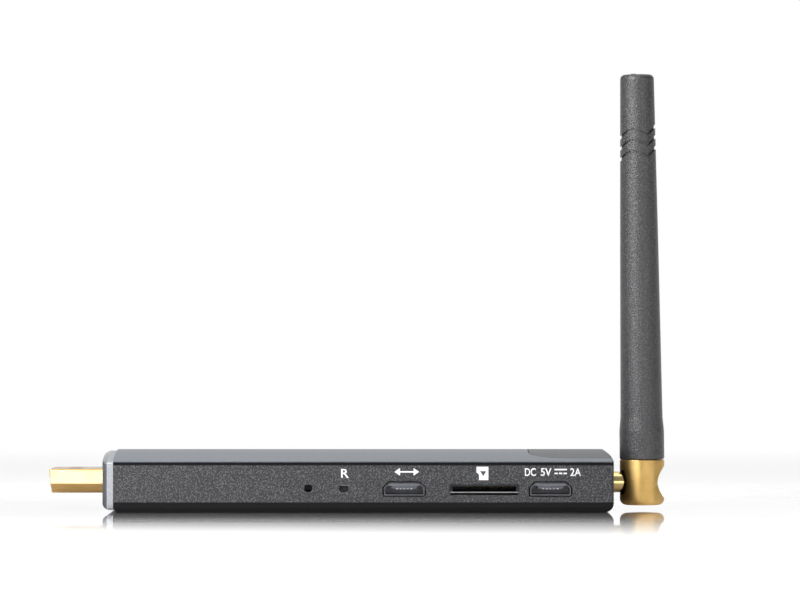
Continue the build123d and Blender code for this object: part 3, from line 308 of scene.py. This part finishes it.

# %% [markdown]
# ## Painted shade in the barrel's mouth
# Where the stub enters, the barrel's mouth is a rounded edge that turns dark toward the bore,
# where it lies in shade. It could be a piece of its own, but the shade is painted into the
# colour as a change of tone. Two masks find it: how far a point lies toward the case, which
# bends with the barrel's round side, and how far it lies above or below the pivot.

# %% Where the mouth is
pivot_mm = (52.635, 0, 5)
bend = 0.085
from_pivot = add_node(
    tree, "ShaderNodeVectorMath", {"operation": "MULTIPLY_ADD"}, _0=place, _1=(1000, 1000, 1000),
    _2=[-p for p in pivot_mm],
)
axes = add_node(tree, "ShaderNodeSeparateXYZ", Vector=from_pivot)
height_square = add_node(
    tree, "ShaderNodeMath", {"operation": "MULTIPLY"}, _0=axes.outputs["Z"], _1=axes.outputs["Z"]
)
toward_case = add_node(
    tree, "ShaderNodeMath", {"operation": "MULTIPLY_ADD"}, _0=height_square, _1=bend, _2=axes.outputs["X"]
)
print("pivot in mm:", pivot_mm)

# %% Painted shade of the mouth
rim_mm, floor_mm = -2.9, -3.5
inner_square, outer_square = 4.6, 5.8
depth = add_node(
    tree, "ShaderNodeMapRange", {"clamp": True}, _0=toward_case, _1=floor_mm, _2=rim_mm, _3=0.0, _4=1.0
)
# Painted shade: near black deep in the mouth, then brown, then the gold again at the rim.
painted_mouth_shade = add_node(
    tree, "ShaderNodeValToRGB",
    stops=((0.0, "#1c150a"), (0.35, "#453216"), (0.7, "#937038"), (1.0, "#e3bd76")), Fac=depth,
)
inside = add_node(
    tree, "ShaderNodeMapRange", {"clamp": True}, _0=height_square, _1=inner_square, _2=outer_square,
    _3=1.0, _4=0.0,
)
beyond = add_node(tree, "ShaderNodeMath", {"operation": "LESS_THAN"}, _0=toward_case, _1=rim_mm)
mouth_shade_mask = add_node(tree, "ShaderNodeMath", {"operation": "MULTIPLY"}, _0=inside, _1=beyond)
# The painted shade replaces the warm gold inside the mouth.
tone = add_node(tree, "ShaderNodeMix", {"data_type": "RGBA"}, _0=mouth_shade_mask, _6=warm, _7=painted_mouth_shade)
feed(tree, shader, Base_Color=tone.outputs[2])
dress(turned_gold, "swivel_barrel")

# %% [markdown]
# ## The stub and its nut
# The same plated brass, but polished after turning. The rings run round the X axis here. So
# little of the stub shows that plain gloss with a ring relief is enough, without anisotropy.

# %% Polished gold
# To the eye: a bright little mirror with sharp light and dark bands.
stub_gold, tree, shader, place = new_material("turned gold stub", "#e6ca8e", 0.15, 1.0)
rings = add_node(tree, "ShaderNodeMapping", Vector=place, Scale=(1, 0.05, 0.05))
emboss(tree, shader, rings, 0.12, 0.003, 0.5)
drift(tree, shader, place, 1.5, "#dfc183", "#ecd29a")
dress(stub_gold, "pivot_stub", "lock_nut")

# %% [markdown]
# ## The antenna sleeve
# The sleeve is soft thermoplastic from a finely etched mould: dark grey and satin, with a
# grain that shows most inside the highlight, as small sparkles along a bright stripe. A deep
# bump under a fairly glossy surface does that. The etching is drawn 0.36 mm wide, several
# times too coarse, because the real one would only blur.

# %% Etched sleeve
# To the eye: dull rubbery grey with a speckled stripe of light.
etching_mm = 0.36
sleeve_tpe, tree, shader, place = new_material("etched thermoplastic", "#2b2b2d", 0.3)
etched = add_node(
    tree, "ShaderNodeTexNoise", Vector=place, Scale=per_mm(etching_mm), Detail=2, Roughness=0.75
)
speckle = add_node(
    tree, "ShaderNodeValToRGB", stops=((0.35, "#18181a"), (0.5, "#232325"), (0.66, "#3c3c3f")), Fac=etched
)
relief = add_node(tree, "ShaderNodeBump", Strength=1.0, Distance=0.13 * MM, Height=etched)
feed(tree, shader, Specular_IOR_Level=0.9, Base_Color=speckle, Normal=relief)
dress(sleeve_tpe, "antenna_sleeve")

# %% [markdown]
# ## Sheet metal in and behind the openings
# The card socket, the reset switch and the shield are stamped from tin-plated steel. The two
# port shells have a black nickel plating, so that no bright outline shows round the openings.
# Both are thin sheet, rolled smooth, and each gets a faint relief and a drift of its own.

# %% Tin-plated steel
# To the eye: a cool soft grey metal with lines along the strip.
tin_steel, tree, shader, place = new_material("tin-plated steel", "#7c7c7e", 0.3, 1.0)
rolled = add_node(tree, "ShaderNodeMapping", Vector=place, Scale=(0.1, 1, 1))
emboss(tree, shader, rolled, 0.2, 0.003, 0.5)
drift(tree, shader, place, 1, "#707072", "#89898b")
dress(tin_steel, "card_socket_shell", "reset_switch_shell", "reset_dome", "wireless_shield")
dress(tin_steel, "stub_washer", "wave_washer")

# %% Black nickel
# To the eye: a smoky metal that keeps its gloss but not its brightness.
dark_nickel, tree, shader, place = new_material("black nickel", "#4c4c4f", 0.32, 1.0)
emboss(tree, shader, place, 0.2, 0.003, 0.5)
drift(tree, shader, place, 0.6, "#434346", "#57575b")
dress(dark_nickel, "usb_data_shell", "usb_power_shell")

# %% [markdown]
# ## Polymer in the sockets
# The tongues and socket bodies are liquid-crystal polymer, moulded very thin. It comes grey or
# black. Its skin shows a faint flow, finer than it can be drawn here, so it is 0.2 mm wide.

# %% Grey polymer
# To the eye: a matt grey that sets the tongue off from the dark port.
grey_lcp, tree, shader, place = new_material("grey polymer", "#62646c", 0.4)
emboss(tree, shader, place, 0.2, 0.006, 0.6)
drift(tree, shader, place, 0.5, "#5a5c64", "#6b6d76")
dress(grey_lcp, "usb_data_tongue", "usb_power_tongue")

# %% Black polymer
# To the eye: matt black that swallows what light gets in.
black_lcp, tree, shader, place = new_material("black polymer", "#131314", 0.45)
emboss(tree, shader, place, 0.2, 0.006, 0.6)
drift(tree, shader, place, 0.5, "#0f0f10", "#19191b")
dress(black_lcp, "hdmi_insulator", "card_socket_base", "reset_switch_body")

# %% [markdown]
# ## Contacts
# Contacts are bronze strip. Where a plug or card rubs they get a flash of gold, and the cheaper
# ones are tinned. They are so small that only their tone counts.

# %% Gold flash
# To the eye: small warm glints in a row.
contact_gold, tree, shader, place = new_material("gold flash", "#d8b25a", 0.25, 1.0)
emboss(tree, shader, place, 0.15, 0.002, 0.5)
drift(tree, shader, place, 0.5, "#cba54e", "#e0bc6a", detail=1)
dress(contact_gold, "hdmi_contacts", "card_socket_contacts", "cable_socket", "cable_plug")

# %% Tinned bronze
# To the eye: pale lines on the grey tongue.
tin_bronze, tree, shader, place = new_material("tinned bronze", "#dededf", 0.3, 0.5)
emboss(tree, shader, place, 0.15, 0.002, 0.5)
drift(tree, shader, place, 0.5, "#d3d3d5", "#e9e9ea", detail=1)
dress(tin_bronze, "usb_data_contacts", "usb_power_contacts")

# %% [markdown]
# ## Behind the two small holes
# Behind one hole stands the reset switch's nylon tip, and behind the other a status light. It
# is off, so its clear resin shows only the dark inside of the case. Glass-like transparency
# would cost time and look the same, so it is a dark resin with little gloss.

# %% Grey nylon
# To the eye: a dull dark grey, just lighter than its hole.
grey_nylon, tree, shader, place = new_material("grey nylon", "#2c2e2c", 0.5)
feed(tree, shader, Specular_IOR_Level=0.3)
emboss(tree, shader, place, 0.2, 0.008, 0.6)
drift(tree, shader, place, 0.4, "#262826", "#333533", detail=1)
dress(grey_nylon, "reset_plunger")

# %% Dark clear resin
# To the eye: black, so that the hole reads as a hole.
light_resin, tree, shader, place = new_material("dark clear resin", "#060607", 0.3)
feed(tree, shader, Specular_IOR_Level=0.1)
drift(tree, shader, place, 0.5, "#040405", "#09090b", detail=1)
dress(light_resin, "status_light")

# %% [markdown]
# ## The board
# The board stays hidden in the closed case, and is finished for whoever opens it: glass-epoxy
# under green solder resist, with copper tracks that shine through. Real tracks would be a
# drawing of their own. A brick pattern with thin joints gives straight lines that turn at
# right angles, 3 mm apart, as a sparse layout has.

# %% Solder resist
# To the eye: glossy deep green with lighter lines just under the surface.
track_pitch_mm = 3
resist, tree, shader, place = new_material("green solder resist", "#12402a", 0.3)
tracks = add_node(
    tree, "ShaderNodeTexBrick", {"offset": 0.5}, Vector=place, Scale=per_mm(track_pitch_mm),
    Color1=linear("#12402a"), Color2=linear("#15482f"), Mortar=linear("#236b42"), Mortar_Size=0.03,
)
relief = add_node(
    tree, "ShaderNodeBump", Strength=0.5, Distance=0.03 * MM, Height=tracks.outputs["Fac"]
)
feed(tree, shader, Base_Color=tracks, Normal=relief)
dress(resist, "circuit_board", "wireless_board")

# %% [markdown]
# ## What the board carries
# Moulded chips and coils, fired ceramic capacitors, nickel cans, a soft thermal pad and a
# rolled aluminium spreader. Each is its own plain material with the two shared steps, because
# parts this small are told apart by tone and gloss alone.

# %% Moulded chip epoxy
# To the eye: matt black, slightly gritty.
chip_epoxy, tree, shader, place = new_material("moulded chip epoxy", "#1d1d1f", 0.55)
emboss(tree, shader, place, 0.15, 0.01, 0.6, detail=3)
drift(tree, shader, place, 0.3, "#19191b", "#242427")
dress(chip_epoxy, "main_processor", "memory_chips", "flash_chip", "power_chip", "inductors")

# %% Fired ceramic
# To the eye: a tan body, faintly glazed.
fired, tree, shader, place = new_material("fired ceramic", "#9c7d5c", 0.4)
emboss(tree, shader, place, 0.1, 0.004, 0.5)
drift(tree, shader, place, 0.3, "#927352", "#a98a68")
dress(fired, "capacitors")

# %% Nickel can
# To the eye: a warm bright metal.
can_metal, tree, shader, place = new_material("nickel can", "#b9b7ad", 0.28, 1.0)
emboss(tree, shader, place, 0.2, 0.002, 0.5)
drift(tree, shader, place, 0.6, "#adaba1", "#c4c2b9")
dress(can_metal, "crystals", "board_screws")

# %% Silicone pad
# To the eye: a dull blue-grey putty.
pad_silicone, tree, shader, place = new_material("silicone pad", "#6f7d94", 0.7)
emboss(tree, shader, place, 0.3, 0.02, 0.7, detail=3)
drift(tree, shader, place, 0.4, "#66748b", "#78869d", detail=3)
dress(pad_silicone, "thermal_pad")

# %% Rolled aluminium
# To the eye: a pale satin metal with long lines from the rolls.
rolled_sheet, tree, shader, place = new_material("rolled aluminium", "#b8b8bc", 0.35, 1.0)
rolled = add_node(tree, "ShaderNodeMapping", Vector=place, Scale=(0.03, 1, 1))
emboss(tree, shader, rolled, 0.3, 0.006, 0.6, detail=3)
drift(tree, shader, rolled, 0.5, "#adadb1", "#c3c3c7")
dress(rolled_sheet, "heat_spreader")

# %% [markdown]
# ## The antenna's inside
# A thin coaxial cable in a smooth black jacket runs from the board into the antenna, where a
# drawn brass tube and a wire do the radiating. Drawing leaves lines along the tube, so its
# noise is stretched along Z.

# %% Black jacket
# To the eye: smooth black plastic with a soft shine.
cable_jacket, tree, shader, place = new_material("black jacket", "#18181a", 0.4)
emboss(tree, shader, place, 0.5, 0.006, 0.6)
drift(tree, shader, place, 0.8, "#131315", "#1f1f22")
dress(cable_jacket, "antenna_cable", "antenna_cable_upper")

# %% Drawn brass
# To the eye: a plain yellow metal, less bright than the gold.
plain_brass, tree, shader, place = new_material("drawn brass", "#c9a55a", 0.3, 1.0)
drawn = add_node(tree, "ShaderNodeMapping", Vector=place, Scale=(1, 1, 0.05))
emboss(tree, shader, drawn, 0.2, 0.003, 0.5)
drift(tree, shader, place, 1, "#bd994f", "#d2b068")
dress(plain_brass, "stub_nut", "dipole_tube", "radiator_wire")

# %% [markdown]
# ## Ink for the printed marks
# The openings are marked with small signs in light grey pad-printing ink. A print could be a
# picture laid on the side, but then it is tied to one resolution. Here each sign is a very thin
# solid of ink, 5 microns proud of the side, which stays sharp however near the camera comes.
# Inside the card's sign the ink is left out, and a dark ink stands for the side seen there.

# %% Light grey ink
# To the eye: a flat, nearly white grey.
ink, tree, shader, place = new_material("light grey ink", "#d9d9dc", 0.55)
drift(tree, shader, place, 0.3, "#cfcfd3", "#e3e3e6")
print("ink:", ink.name)

# %% Knocked-out ink
# To the eye: the side's own dark grey.
dark_ink, tree, shader, place = new_material("knocked-out ink", "#333336", 0.6)
drift(tree, shader, place, 0.3, "#2e2e31", "#3a3a3d")
print("ink:", dark_ink.name)

# %% [markdown]
# ## A flat mark on the side
# Every sign that isn't a letter starts as an upright plane on the side, placed by its lower
# left corner. Its edges are then picked by their place and pushed out, as by hand in edit
# mode. Drawing its corners from a list would be shorter, and would teach less. Operators act
# on all that is selected, so everything is deselected first.


# %% Place marks
ink_mm = 0.005
side_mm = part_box("side_frame")[0].y / MM


def start_clean():
    """Deselect everything, because the loaded nodes are selected and operators act on all that is."""
    bpy.ops.object.select_all(action="DESELECT")


def upright_plane(x_mm, z_mm, width_mm, height_mm):
    """A flat plane that stands on the near side, from its lower left corner."""
    start_clean()
    middle = ((x_mm + width_mm / 2) * MM, side_mm * MM, (z_mm + height_mm / 2) * MM)
    bpy.ops.mesh.primitive_plane_add(size=1, location=middle, rotation=(radians(90), 0, 0))
    plane = bpy.context.object
    plane.scale = (width_mm * MM, height_mm * MM, 1)
    bpy.ops.object.transform_apply(location=True, rotation=True, scale=True)
    return plane


print("the near side is at Y", round(side_mm, 2), "mm")


# %% Pick and push
def pick(piece, kind, wanted):
    """Select the piece's vertices or edges whose middle passes a test, in millimetres."""
    bpy.ops.object.mode_set(mode="OBJECT")
    mesh = piece.data
    for group in (mesh.vertices, mesh.edges, mesh.polygons):
        group.foreach_set("select", [False] * len(group))
    corners = [corner.co / MM for corner in mesh.vertices]
    if kind == "VERT":
        for corner in mesh.vertices:
            corner.select = wanted(corners[corner.index])
    else:
        for edge in mesh.edges:
            edge.select = wanted((corners[edge.vertices[0]] + corners[edge.vertices[1]]) / 2)
    bpy.ops.object.mode_set(mode="EDIT")
    bpy.ops.mesh.select_mode(type=kind)


def push_out(shift_mm):
    """Extrude what is picked by a shift in millimetres."""
    move = {"value": [s * MM for s in shift_mm]}
    bpy.ops.mesh.extrude_region_move(TRANSFORM_OT_translate=move)


print("tools for shaping a mark ready")


# %% From shape to ink
def to_ink(piece, material, name):
    """Give a flat mark its thickness, name and ink, and let it ride on the case."""
    bpy.ops.object.mode_set(mode="OBJECT")
    thick = piece.modifiers.new("thickness", "SOLIDIFY")
    thick.thickness = 2 * ink_mm * MM
    thick.offset = 0
    bpy.ops.object.modifier_apply(modifier="thickness")
    piece.name = name
    piece.data.materials.clear()
    piece.data.materials.append(material)
    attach(piece, "case")
    print(name, "size in mm:", [round(d / MM, 2) for d in piece.dimensions])


print("a mark is", 2 * ink_mm, "mm thick, and half of that stands out")

# %% [markdown]
# ## Letters and figures
# The short words are text objects in Blender's own plain font, made slightly bolder. Letters
# could be shaped by hand, but a font is right at once. Each word is made a mesh, fitted
# between the lines where it stands on the side, and turned upright.


# %% Print the words
stroke_mm = 0.035
capital_share = 0.73
words_foot_mm, words_top_mm = 6.68, 8.12


def print_text(words, name, left_mm, right_mm, foot_mm=words_foot_mm, top_mm=words_top_mm):
    """Words printed on the side, fitted between four lines."""
    start_clean()
    bpy.ops.object.text_add()
    letters = bpy.context.object.data
    letters.body = words
    letters.offset = stroke_mm * MM
    letters.size = (top_mm - foot_mm) * MM / capital_share
    bpy.ops.object.convert(target="MESH")
    piece = bpy.context.object
    low = [min(corner.co[axis] for corner in piece.data.vertices) for axis in range(2)]
    high = [max(corner.co[axis] for corner in piece.data.vertices) for axis in range(2)]
    across = (right_mm - left_mm) * MM / (high[0] - low[0])
    upward = (top_mm - foot_mm) * MM / (high[1] - low[1])
    piece.rotation_euler = (radians(90), 0, 0)
    piece.scale = (across, upward, 1)
    piece.location = (left_mm * MM - low[0] * across, side_mm * MM, foot_mm * MM - low[1] * upward)
    bpy.ops.object.transform_apply(location=True, rotation=True, scale=True)
    to_ink(piece, ink, name)


print_text("R", "print_reset", -3.11, -1.67, foot_mm=6.35, top_mm=7.97)
print_text("DC", "print_supply", 30.44, 32.45)
print_text("5V", "print_volts", 33.34, 35.3)
print_text("2A", "print_amps", 38.72, 40.7)

# %% [markdown]
# ## The direct current sign
# A long bar over three dashes, beside the rating of the supply port. They are plain bars, so
# nothing is gained by shaping them: the dashes are one plane, made again one pitch further.

# %% Print the bar and dashes
sign_left_mm, bar_width_mm, line_mm = 35.84, 2.26, 0.27
bar_foot_mm, dash_foot_mm = 7.72, 7.02
dash_width_mm, dash_pitch_mm = 0.6, 0.83
upper_bar = upright_plane(sign_left_mm, bar_foot_mm, bar_width_mm, line_mm)
to_ink(upper_bar, ink, "print_bar")
for number in range(3):
    dash = upright_plane(sign_left_mm + dash_pitch_mm * number, dash_foot_mm, dash_width_mm, line_mm)
    to_ink(dash, ink, f"print_dash_{number + 1}")

# %% [markdown]
# ## The double arrow
# An arrow that points both ways marks the data port. It grows from its shaft: each end is
# pushed out a hair and widened into a head, and the next push is merged into the point.

# %% Print the double arrow
shaft_left_mm, shaft_foot_mm, shaft_length_mm, shaft_mm = 7.66, 7.31, 2.46, 0.26
head_mm, head_spread = 1.0, 5.4
hair_mm = 0.01
arrow = upright_plane(shaft_left_mm, shaft_foot_mm, shaft_length_mm, shaft_mm)
for way, end_mm in ((-1, shaft_left_mm), (1, shaft_left_mm + shaft_length_mm)):
    pick(arrow, "EDGE", lambda middle: way * (middle.x - end_mm) > -hair_mm / 2)
    push_out((way * hair_mm, 0, 0))
    pick(arrow, "VERT", lambda corner: way * (corner.x - end_mm) > hair_mm / 2)
    bpy.ops.transform.resize(value=(1, 1, head_spread))
    push_out((way * head_mm, 0, 0))
    pick(arrow, "VERT", lambda corner: way * (corner.x - end_mm) > head_mm / 2)
    bpy.ops.mesh.merge(type="CENTER")
to_ink(arrow, ink, "print_arrow")

# %% [markdown]
# ## The card sign
# A memory card's outline: a narrow lower part, a wider upper part, and a slanted step between
# them. An arrowhead inside it points down, the way that the card goes in. A hole in the ink
# would take more steps, so the arrowhead is a second thin layer in dark ink.

# %% Print the card
card_left_mm, card_foot_mm, card_width_mm, card_low_mm = 22.07, 5.93, 1.71, 0.99
card_high_mm, card_step_mm, card_slant_mm = 1.46, 0.46, 0.42
shoulder_mm = card_foot_mm + card_low_mm
card = upright_plane(card_left_mm, card_foot_mm, card_width_mm, card_low_mm)
pick(card, "EDGE", lambda middle: middle.z > shoulder_mm - hair_mm)
push_out((0, 0, card_high_mm))
pick(card, "EDGE", lambda middle: middle.x < card_left_mm + hair_mm and middle.z > shoulder_mm + hair_mm)
push_out((-card_step_mm, 0, 0))
pick(card, "VERT", lambda corner: corner.x < card_left_mm - hair_mm and corner.z < shoulder_mm + hair_mm)
bpy.ops.transform.translate(value=(0, 0, card_slant_mm * MM))
to_ink(card, ink, "print_card")

# %% Print the arrowhead on the card
point_left_mm, point_foot_mm, point_width_mm, point_height_mm = 22.27, 6.67, 1.13, 0.9
card_arrow = upright_plane(point_left_mm, point_foot_mm, point_width_mm, point_height_mm)
pick(card_arrow, "VERT", lambda corner: corner.z < point_foot_mm + hair_mm)
bpy.ops.mesh.merge(type="CENTER")
bpy.ops.object.mode_set(mode="OBJECT")
bpy.ops.transform.translate(value=(0, -ink_mm * MM, 0))
bpy.ops.object.transform_apply(location=True, rotation=True, scale=True)
to_ink(card_arrow, dark_ink, "print_card_arrow")

# %% [markdown]
# ## The white floor
# The stick lies on a sheet of white acrylic that reflects it at a low view. A plain glossy
# white would either hide the reflection or turn grey. So the sheet is a white body and a
# mirror, mixed in the shader. The mirror's share fades with the distance from the case and
# shows only where the floor is seen at a low angle, as on real acrylic.

# %% Lay the floor
start_clean()
bpy.ops.mesh.primitive_plane_add(size=30, location=(0, 0, 0))
floor = bpy.context.object
floor.name = "floor"
print("floor size:", tuple(round(d, 2) for d in floor.dimensions))

# %% Distance from the case
# To the eye: bright white, with a soft mirror image close to the stick.
floor_finish, tree, shader, place = new_material("white acrylic sheet", "#f6f6f6", 0.5)
case_half = (0.05, 0.0175, 0)
away = add_node(tree, "ShaderNodeVectorMath", {"operation": "ABSOLUTE"}, _0=place)
away = add_node(tree, "ShaderNodeVectorMath", {"operation": "SUBTRACT"}, _0=away, _1=case_half)
away = add_node(tree, "ShaderNodeVectorMath", {"operation": "MAXIMUM"}, _0=away, _1=(0, 0, 0))
away = add_node(tree, "ShaderNodeVectorMath", {"operation": "LENGTH"}, _0=away).outputs["Value"]
print("the floor counts its distance from a box of half size", case_half)

# %% The mirror's share
fade_length = 0.11
least_facing, full_facing = 0.72, 0.93
fading = add_node(
    tree, "ShaderNodeMapRange", {"clamp": True}, _0=away, _1=0.0, _2=fade_length, _3=0.0, _4=1.0
)
share = add_node(
    tree, "ShaderNodeValToRGB", Fac=fading,
    stops=((0.0, 0.97), (0.055, 0.96), (0.175, 0.925), (0.29, 0.83), (0.47, 0.67), (0.65, 0.47),
           (0.85, 0.22), (1.0, 0.0)),
)
facing = add_node(tree, "ShaderNodeLayerWeight", Blend=0.5).outputs["Facing"]
grazing = add_node(
    tree, "ShaderNodeMapRange", {"clamp": True}, _0=facing, _1=least_facing, _2=full_facing, _3=0.0, _4=1.0
)
share = add_node(tree, "ShaderNodeMath", {"operation": "MULTIPLY"}, _0=share, _1=grazing)
mirror = add_node(tree, "ShaderNodeBsdfAnisotropic", Roughness=0.03, Color=linear(1))
sheet = add_node(tree, "ShaderNodeMixShader", _0=share, _1=shader, _2=mirror)
print("the mirror fades out over", fade_length, "m")

# %% [markdown]
# ## The floor far away
# Far from the stick the floor has to be as white as the wall behind it, or a grey horizon
# shows. More light would do it, and wash out the object. Instead the far floor turns into
# plain white for the camera, and for rays that come off metal or through glass. Near the
# object it stays a real surface and keeps the shadow.

# %% White far floor
far_start, far_end = 0.12, 0.36
path = add_node(tree, "ShaderNodeLightPath")
seen = add_node(
    tree, "ShaderNodeMath", {"operation": "MAXIMUM"}, _0=path.outputs["Is Camera Ray"],
    _1=path.outputs["Is Glossy Ray"],
)
seen = add_node(
    tree, "ShaderNodeMath", {"operation": "MAXIMUM"}, _0=seen, _1=path.outputs["Is Transmission Ray"]
)
far_off = add_node(
    tree, "ShaderNodeMapRange", {"clamp": True}, _0=away, _1=far_start, _2=far_end, _3=0.0, _4=1.0
)
plain = add_node(tree, "ShaderNodeMath", {"operation": "MULTIPLY"}, _0=seen, _1=far_off)
white = add_node(tree, "ShaderNodeEmission", Strength=1.0)
surface = add_node(tree, "ShaderNodeMixShader", _0=plain, _1=sheet, _2=white)
feed(tree, tree.nodes["Material Output"], Surface=surface)
floor.data.materials.append(floor_finish)
print(floor_finish.name, "is plain white beyond", far_end, "m")

# %% [markdown]
# ## The studio round the object
# A polished surface with only white round it looks flat, because there is nothing dark in it.
# Photographers put black cards beside their lamps. Here the world does both: the camera sees
# it white, dull surfaces get an even soft grey, and glossy ones see bright and dark bands, by
# how far a direction turns from the front, sideways and upward.

# %% World
world = bpy.data.worlds.new("studio")
world.use_nodes = True
bpy.context.scene.world = world
tree = world.node_tree
path = add_node(tree, "ShaderNodeLightPath")
direction = add_node(tree, "ShaderNodeTexCoord").outputs["Generated"]
split = add_node(tree, "ShaderNodeSeparateXYZ", Vector=direction)
toward = add_node(tree, "ShaderNodeMath", {"operation": "MULTIPLY"}, _0=split.outputs["Y"], _1=-1.0)
print("world:", world.name)


# %% Bands by angle
def turn_of(side):
    """How far a direction turns from the front, 0 to 1 over a whole turn, with the front at 0.5."""
    angle = add_node(tree, "ShaderNodeMath", {"operation": "ARCTAN2"}, _0=side, _1=toward)
    return add_node(
        tree, "ShaderNodeMath", {"operation": "MULTIPLY_ADD"}, _0=angle, _1=0.5 / radians(180), _2=0.5
    )


def degree_stops(*steps):
    """The stops of a ramp over a whole turn, from (degrees from the front, brightness) steps."""
    return [((degrees + 180) / 360, light) for degrees, light in steps]


around = add_node(
    tree, "ShaderNodeValToRGB", Fac=turn_of(split.outputs["X"]),
    stops=degree_stops(
        (-180, 1.0), (-137, 0.3), (-97, 0.45), (-63, 1.2), (-34, 0.9), (-14, 0.4), (0, 0.35), (12, 2.0),
        (28, 2.0), (52, 0.4), (70, 0.25), (108, 0.3), (128, 0.4), (150, 0.7), (180, 1.0),
    ),
)
upward = add_node(
    tree, "ShaderNodeValToRGB", Fac=turn_of(split.outputs["Z"]),
    stops=degree_stops(
        (-180, 1.0), (-2, 1.0), (10, 1.0), (20, 0.35), (58, 0.35), (75, 1.0), (180, 1.0)
    ),
)
print("bands around:", len(around.color_ramp.elements), "upward:", len(upward.color_ramp.elements))

# %% White for the camera, bands for gloss
even_light = 0.6
studio = add_node(
    tree, "ShaderNodeMix", {"data_type": "RGBA", "blend_type": "MULTIPLY"}, _0=1.0, _6=around, _7=upward
)
soft = add_node(
    tree, "ShaderNodeMix", {"data_type": "RGBA"}, _0=path.outputs["Is Glossy Ray"],
    _6=linear(even_light), _7=studio.outputs[2],
)
in_view = add_node(
    tree, "ShaderNodeMath", {"operation": "MAXIMUM"}, _0=path.outputs["Is Camera Ray"],
    _1=path.outputs["Is Transmission Ray"],
)
seen = add_node(
    tree, "ShaderNodeMix", {"data_type": "RGBA"}, _0=in_view, _6=soft.outputs[2], _7=linear(1)
)
feed(tree, tree.nodes["Background"], Color=seen.outputs[2], Strength=1.0)
print("even light of the world:", even_light)

# %% [markdown]
# ## Soft boxes
# Area lamps stand for the studio's soft boxes: tall strips for the long highlights on sleeve
# and barrel, small boxes for the plug and the near side, a wide one above for the even light.
# A strip near the object gives a softer edge than a strong lamp far off. The camera itself
# doesn't see them.


# %% Set the lamps
def soft_box(name, place, target, size, watts):
    """A rectangular lamp that faces a target."""
    aim = (Vector(target) - Vector(place)).to_track_quat("-Z", "Y").to_euler()
    bpy.ops.object.light_add(type="AREA", location=place, rotation=aim)
    lamp = bpy.context.object
    lamp.name = name
    lamp.data.shape = "RECTANGLE"
    lamp.data.size, lamp.data.size_y = size
    lamp.data.energy = watts
    lamp.visible_camera = False


barrel_x = 0.0526
soft_box("strip_left", (-0.115, -0.26, 0.225), (barrel_x, 0, 0.055), (0.12, 0.3), 0.9)
soft_box("high_left", (-0.09, -0.075, 0.17), (barrel_x, 0, 0.01), (0.06, 0.12), 0.2)
soft_box("near_left", (-0.085, -0.1, 0.035), (-0.05, -0.0175, 0.005), (0.04, 0.04), 0.013)
soft_box("front_box", (-0.03, -1.3, 0.06), (-0.03, 0, 0.02), (0.36, 0.12), 0.5)
soft_box("strip_right", (0.292, -0.18, 0.17), (barrel_x, 0, 0.05), (0.1, 0.28), 0.09)
soft_box("top_box", (0, 0.1, 1.1), (0, 0, 0), (1.0, 0.8), 3)
bpy.context.scene.view_settings.view_transform = "Standard"
